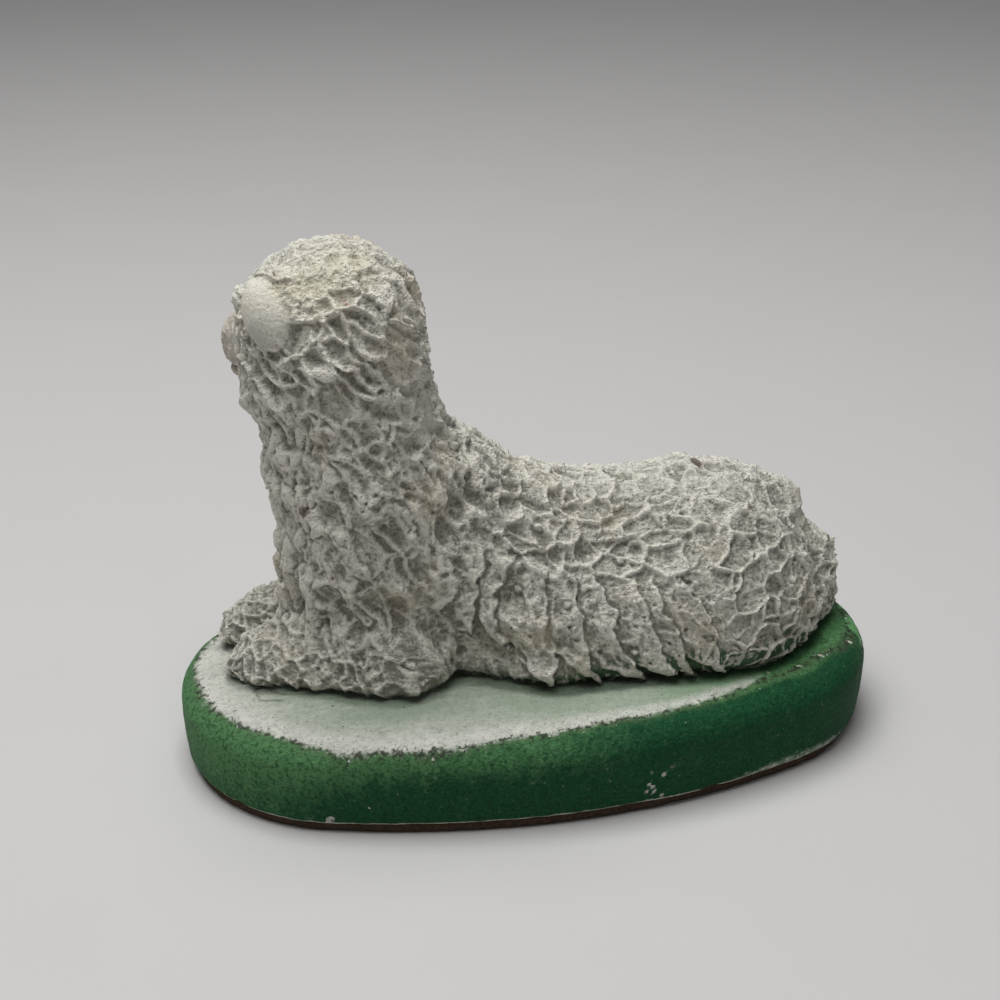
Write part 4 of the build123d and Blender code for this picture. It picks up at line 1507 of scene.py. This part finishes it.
def plinth_wear(p, wall_top):
    """Wear and paint at points of the plinth, each from 0 to 1, by name.

    Bare plaster begins where the inset passes the worn line, which wanders, and along the foot in a thin line
    with chips. Inside it lies a bright band, then grey haze, and green spray that thickens to the rear.
    """
    x, y, z = p.T
    above, over, inset = z - PAD_TOP, z - wall_top, plinth_inset(x, y)
    wave, ripple = wool_noise(p, 5.0, 71), wool_noise(p, 1.6, 73)
    top, front, rear = smooth(*TOP, over), smooth(*LEFT_SIDE, y), smooth(*REAR, x + 2.0 * wave)
    line = FAR_WORN_LINE + (np.interp(x, *WORN_LINE.T) - FAR_WORN_LINE) * front
    past = inset - line + 0.5 * wave + 0.35 * ripple
    band = smooth(*BAND.inner, past + smooth(*BAND.narrower, x)) * smooth(*BAND.rear, x)
    band = smooth(*BAND.outer, past) * band
    casting = joined(make_fields(), p)
    close = smooth(7.5, 0.5, casting)

    chip, cluster = plinth_chips(p, above, inset, ripple)
    scuffed = smooth(*SCUFF.front, x) * smooth(*SCUFF.rear, x) * front
    scuffed = scuffed * smooth(*SCUFF.top, above + 0.6 * wave)
    corner = smooth(2.4, 0.6, length((p - WORN_CORNER) * (1, 0.33, 1)) + 1.2 * ripple)
    foot = smooth(*FOOT_LINE.above, above + 0.12 * ripple) * smooth(*FOOT_LINE.inset, inset)
    bare = top * smooth(*BARE.past, past) * (1 - BARE.sprayed * rear * (1 - band))
    places = {"foot": foot, "chip": chip, "cluster": cluster, "scuffed": scuffed, "corner": corner}
    bare = np.max([bare, *(getattr(BARE, name) * place for name, place in places.items())], axis=0)

    # Haze is dust, thickened near the sheep and at contact as painted shade
    haze = HAZE.least + HAZE.near * close + HAZE.rear * smooth(*HAZE.rear_x, x)
    haze = haze * smooth(*HAZE.front, x - HAZE.slant * y) * (1 - HAZE.band * band)
    haze = top * np.clip(haze + HAZE.contact_shade * close, 0, 1)
    thick = GREEN.most - GREEN.front * smooth(*GREEN.front_x, x) - GREEN.rear * smooth(*GREEN.rear_x, x)
    thick -= GREEN.scuffed * scuffed
    # Paler green on the shoulder and deeper green at the foot: painted highlight and painted shade
    thick -= GREEN.shoulder * smooth(*GREEN.shoulder_over, over) * smooth(*GREEN.shoulder_x, x)
    thick -= GREEN.top * top * smooth(*GREEN.top_inset, inset + 0.5 * wave)
    thick += (GREEN.foot * smooth(*GREEN.foot_over, over) - GREEN.foot_loss) * smooth(*GREEN.foot_x, x)
    crevice_paint_and_shade = CREVICE_PAINT_AND_SHADE.least + CREVICE_PAINT_AND_SHADE.rear * smooth(*CREVICE_PAINT_AND_SHADE.rear_x, x)
    return {
        "bare": bare,
        "haze": haze,
        "spray": top * np.clip(SPRAY.haze * haze + SPRAY.rear * rear * (1 - band), 0, 1),
        "deep": np.clip(thick, 0, 1),
        "brink": smooth(*BRINK.over, over) * bell(past, BRINK.half),
        "crevice_paint_and_shade": top * smooth(*CREVICE_PAINT_AND_SHADE.near, casting) * crevice_paint_and_shade,
        "scratch": top * smooth(*SCRATCH_EDGE, stroke(p, SCRATCH) + 0.06 * ripple),
        "chip": np.maximum(chip, 0.4 * cluster),
    }


class SHEEP_OT_plinth(bpy.types.Operator):
    """Oval plinth: its profile carried round the outline, with chips along the foot and a worn shoulder"""

    bl_idname = "sheep.plinth"
    bl_label = "Plinth"

    def execute(self, context):
        wall_top = PAD_TOP + mm(group("forms").wall_height)
        profile = plinth_profile()
        points, outward = carried(profile, PLINTH_COLUMNS, PAD_TOP, SEAT)
        slant = unit(np.gradient(profile, axis=0))
        facing = np.zeros_like(points)
        facing[1:-1, :, :2] = outward[None] * slant[:, 1][:, None, None]
        facing[1:-1, :, 2] = slant[:, 0][:, None]
        facing[-1] = UP
        flat = points.reshape(-1, 3)
        wear = plinth_wear(flat, wall_top)
        chip = wear.pop("chip")
        top = smooth(*GRITTY_TOP, flat[:, 2] - wall_top)
        grit = layered(flat, PLINTH_GRIT) * (1 + top + BRINK_GRIT * wear["brink"])
        uneven = layered(flat, PLINTH_WAVES) + grit
        moved = flat + facing.reshape(-1, 3) * (uneven - CHIP_DEPTH * chip)[:, None]
        moved[:, 2] = np.maximum(moved[:, 2], PAD_TOP)
        piece = face_mesh("plinth_cast", moved, points.shape[:2], wear)
        settle(piece, "plinth", plinth_finish())
        return {"FINISHED"}


class SHEEP_OT_pad(bpy.types.Operator):
    """Felt pad under the plinth: a thin slab with a soft uneven edge, carried round the plinth's outline"""

    bl_idname = "sheep.pad"
    bl_label = "Felt pad"

    def execute(self, context):
        turn = np.linspace(-pi / 2, pi / 2, PAD_STEPS)
        edge = np.stack([PAD_EDGE * (1 - np.cos(turn)), PAD_TOP / 2 * (1 + np.sin(turn))], 1)
        below = [(inset, 0.0) for inset in PAD_INSETS]
        above = [(inset, PAD_TOP) for inset in reversed(PAD_INSETS)]
        profile = np.concatenate([below, edge, above])
        set_in = HALF_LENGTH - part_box("base_pad")[1].x / MM
        points, outward = carried(profile + (set_in, 0), PAD_COLUMNS, 0, PAD_TOP)
        flat = points.reshape(-1, 3)
        rim = smooth(*PAD_RIM, np.repeat(np.concatenate([[FAR], profile[:, 0], [FAR]]), PAD_COLUMNS))
        fuzz = (layered(flat, PAD_FUZZ) - FUZZ_LOSS) * rim
        flat[:, :2] += np.tile(outward, (len(points), 1)) * fuzz[:, None]
        piece = face_mesh("base_pad_felt", flat, points.shape[:2], {})
        settle(piece, "base_pad", felt_finish())
        return {"FINISHED"}


# Sheep

# Middle lines of the rays: x, y and height above the plinth's top at both ends, or lengths in mm
BARREL_LINE = ((-14, 0, 5), (37, 0, 5))
NECK_LINE = ((-21.5, 1, 3), (-26.5, 1, 47))
EGG_LINE = 0.2
HEAD_LINE = 5.0
EAR_LINE = 2.6
FORELEG_LIFT, HOOF_SETBACK = 1.5, 4.5
MUZZLE_START, NOSE_SETBACK = 4.0, 4.5

# Carving of the muzzle, in mm above its middle line, aside, and back from the tip of the nose
MOUTH = SimpleNamespace(up=-1.6, sag=0.10 / 3, climb=0.05, half=0.42, back=(7.0, 4.5))
NOSTRIL = SimpleNamespace(aside=1.9, up=1.5, slant=0.35, half=(0.75, 0.5), back=(5.0, 2.5))
CLEFT = SimpleNamespace(half=0.35, low=(-1.6, -1.2), high=(1.4, 0.8), back=(4.0, 2.0))
LIP = SimpleNamespace(up=-2.9, half=0.9, back=(6.0, 3.0))
BRIDGE = SimpleNamespace(up=2.6, half=1.0, back=(5.0, 3.0))
CARVING = {"lip": 0.35, "bridge": 0.3, "mouth": -0.8, "nostril": -0.85, "cleft": -0.35}
MUZZLE_LUMPS, MUZZLE_CRAGS = ((0.35, 2.2, 93),), SimpleNamespace(rise=0.15, size=1.6, seed=95)
MUZZLE_DIVE = (0.25, 2.5)
BLUSH_BACK, BLUSH_EDGE = (9.0, 3.0), ((0.6, 2.0, 91),)


def muzzle_marks(back, aside, up):
    """Carving of the muzzle by name, from 0 to 1: bells across a line or round a place, faded to the back."""
    out = np.abs(aside) - NOSTRIL.aside
    mouth = bell(up - MOUTH.up + MOUTH.sag * aside**2 - MOUTH.climb * back, MOUTH.half)
    nostril = bell(out, NOSTRIL.half[0]) * bell(up - NOSTRIL.up + NOSTRIL.slant * out, NOSTRIL.half[1])
    cleft = bell(aside, CLEFT.half) * smooth(*CLEFT.low, up) * smooth(*CLEFT.high, up)
    return {
        "mouth": mouth * smooth(*MOUTH.back, back),
        "nostril": nostril * smooth(*NOSTRIL.back, back),
        "cleft": cleft * smooth(*CLEFT.back, back),
        "lip": bell(up - LIP.up, LIP.half) * smooth(*LIP.back, back),
        "bridge": bell(up - BRIDGE.up, BRIDGE.half) * smooth(*BRIDGE.back, back),
    }


class SHEEP_OT_barrel(bpy.types.Operator):
    """Woolly trunk of the sheep"""

    bl_idname = "sheep.barrel"
    bl_label = "Barrel"

    def execute(self, context):
        wool_piece("barrel", *(BARREL_LINE + ON_SEAT), UP)
        return {"FINISHED"}


class SHEEP_OT_haunches(bpy.types.Operator):
    """Folded hind legs, one on each side of the rump"""

    bl_idname = "sheep.haunches"
    bl_label = "Haunches"

    def execute(self, context):
        for name, side in SIDES:
            middle, out = haunch_middle(side), np.array((0, EGG_LINE * side, 0))
            wool_piece(name + "_haunch", middle - out, middle + out, UP)
        return {"FINISHED"}


class SHEEP_OT_tail(bpy.types.Operator):
    """Short woolly tail at the rear"""

    bl_idname = "sheep.tail"
    bl_label = "Tail"

    def execute(self, context):
        middle, out = mm(group("forms").tail_place) + ON_SEAT, np.array((EGG_LINE, 0, 0))
        wool_piece("tail", middle - out, middle + out, UP)
        return {"FINISHED"}


class SHEEP_OT_neck(bpy.types.Operator):
    """Upright woolly neck with the chest below it"""

    bl_idname = "sheep.neck"
    bl_label = "Neck"

    def execute(self, context):
        wool_piece("neck", *(NECK_LINE + ON_SEAT), (1, 0, 0))
        return {"FINISHED"}


class SHEEP_OT_forelegs(bpy.types.Operator):
    """Forelegs stretched out below the chest"""

    bl_idname = "sheep.forelegs"
    bl_label = "Forelegs"

    def execute(self, context):
        lift = np.array((0, 0, FORELEG_LIFT))
        for name, side in SIDES:
            elbow, hoof = foreleg_frame(side)
            wool_piece(name + "_foreleg", elbow + lift, hoof - unit(hoof - elbow) * HOOF_SETBACK + lift, UP)
        return {"FINISHED"}


class SHEEP_OT_head(bpy.types.Operator):
    """Skull with its woolly crown, turned to the sheep's right"""

    bl_idname = "sheep.head"
    bl_label = "Head"

    def execute(self, context):
        middle, _, left, crown = head_frame()
        wool_piece("head", middle - left * HEAD_LINE, middle + left * HEAD_LINE, crown)
        return {"FINISHED"}


class SHEEP_OT_muzzle(bpy.types.Operator):
    """Bare muzzle with its nostrils and mouth, tinted a faded pink"""

    bl_idname = "sheep.muzzle"
    bl_label = "Muzzle"

    def execute(self, context):
        forms = group("forms")
        middle, facing, left, crown = head_frame()
        reach = mm(forms.muzzle_size)[0]
        root = middle - crown * mm(forms.muzzle_drop)
        start, end = root + facing * MUZZLE_START, root + facing * (reach - NOSE_SETBACK)
        points, normals, face, shape = form_grid("muzzle", start, end, crown)
        height, _ = fleece(points, face)
        height += layered(points, MUZZLE_LUMPS)
        height += MUZZLE_CRAGS.rise * crags(points / MUZZLE_CRAGS.size, MUZZLE_CRAGS.seed)
        q = points - root
        back = reach - q @ facing
        marks = muzzle_marks(back, q @ left, q @ crown)
        carved = height + sum(rise * marks[name] for name, rise in CARVING.items())
        carved -= DIVE * smooth(*MUZZLE_DIVE, face["hidden"])
        moved = points + normals * carved[:, None]
        paint = {
            "pale": relief_grime_and_painted_light(height, shape),
            "blush": smooth(*BLUSH_BACK, back - layered(points, BLUSH_EDGE)),
            "crease": np.clip(marks["mouth"] + marks["nostril"] + 0.7 * marks["cleft"], 0, 1),
        }
        settle(face_mesh("muzzle_cast", moved, shape, paint), "muzzle", face_finish())
        return {"FINISHED"}


class SHEEP_OT_ears(bpy.types.Operator):
    """Smooth ears that hang beside the cheeks"""

    bl_idname = "sheep.ears"
    bl_label = "Ears"

    def execute(self, context):
        for name, side in SIDES:
            middle, hang, _, facing = ear_frame(side)
            wool_piece(name + "_ear", middle - hang * EAR_LINE, middle + hang * EAR_LINE, facing)
        return {"FINISHED"}


class SHEEP_OT_stage(bpy.types.Operator):
    """Pale floor, soft light from overhead, and the camera"""

    bl_idname = "sheep.stage"
    bl_label = "Stage"

    def execute(self, context):
        stage = group("stage")
        scene = context.scene
        size = stage.floor_reach
        corners = [(-size, -size, 0), (size, -size, 0), (size, size, 0), (-size, size, 0)]
        mesh = bpy.data.meshes.new("floor")
        mesh.from_pydata(corners, [], [(0, 1, 2, 3)])
        mesh.materials.append(floor_finish())
        floor = bpy.data.objects.new("floor", mesh)
        scene.collection.objects.link(floor)

        scene.world = bpy.data.worlds.new("studio")
        scene.world.use_nodes = True
        sky = scene.world.node_tree.nodes["Background"]
        sky.inputs["Color"].default_value = (*stage.sky, 1)
        sky.inputs["Strength"].default_value = 1.0

        lamp = bpy.data.lights.new("overhead", "AREA")
        lamp.shape = "RECTANGLE"
        lamp.size, lamp.size_y = stage.lamp_length, stage.lamp_width
        lamp.energy = stage.overhead
        light = bpy.data.objects.new("overhead", lamp)
        light.location = stage.lamp_place
        aim = stage.lamp_aim - stage.lamp_place
        light.rotation_euler = aim.to_track_quat("-Z", "Y").to_euler()
        scene.collection.objects.link(light)

        lens = bpy.data.cameras.new("camera")
        lens.lens, lens.sensor_width = stage.lens, 36.0
        lens.clip_start, lens.clip_end = 0.01, 20.0
        eye = bpy.data.objects.new("camera", lens)
        eye.location = stage.camera
        eye.rotation_euler = (pi / 2 - stage.pitch, 0, -stage.heading)
        scene.collection.objects.link(eye)
        scene.camera = eye
        scene.view_settings.view_transform = "Standard"
        return {"FINISHED"}


# Add-on

GROUPS = {"forms": SheepForms, "relief": SheepRelief, "paint": SheepPaint, "stage": SheepStage}
PIECES = (
    SHEEP_OT_plinth, SHEEP_OT_pad, SHEEP_OT_barrel, SHEEP_OT_haunches, SHEEP_OT_tail, SHEEP_OT_neck,
    SHEEP_OT_forelegs, SHEEP_OT_head, SHEEP_OT_muzzle, SHEEP_OT_ears, SHEEP_OT_stage,
)


class SHEEP_PT_pieces(bpy.types.Panel):
    """Sizes, colours and the pieces that can be built"""

    bl_idname = "SHEEP_PT_pieces"
    bl_label = "Plaster sheep"
    bl_space_type = "VIEW_3D"
    bl_region_type = "UI"
    bl_category = "Sheep"

    def draw(self, context):
        for piece in PIECES:
            self.layout.operator(piece.bl_idname)
        for name, made in GROUPS.items():
            box = self.layout.box()
            for key in made.__annotations__:
                box.prop(group(name), key)


def register():
    for made in (*GROUPS.values(), *PIECES, SHEEP_PT_pieces):
        bpy.utils.register_class(made)
    for name, made in GROUPS.items():
        setattr(bpy.types.Scene, "sheep_" + name, PointerProperty(type=made))


def unregister():
    for name in GROUPS:
        delattr(bpy.types.Scene, "sheep_" + name)
    for made in reversed((*GROUPS.values(), *PIECES, SHEEP_PT_pieces)):
        bpy.utils.unregister_class(made)


def main():
    """Builds every piece in order."""
    register()
    for piece in PIECES:
        getattr(bpy.ops.sheep, piece.bl_idname.split(".")[1])()


if __name__ == "__main__":
    main()
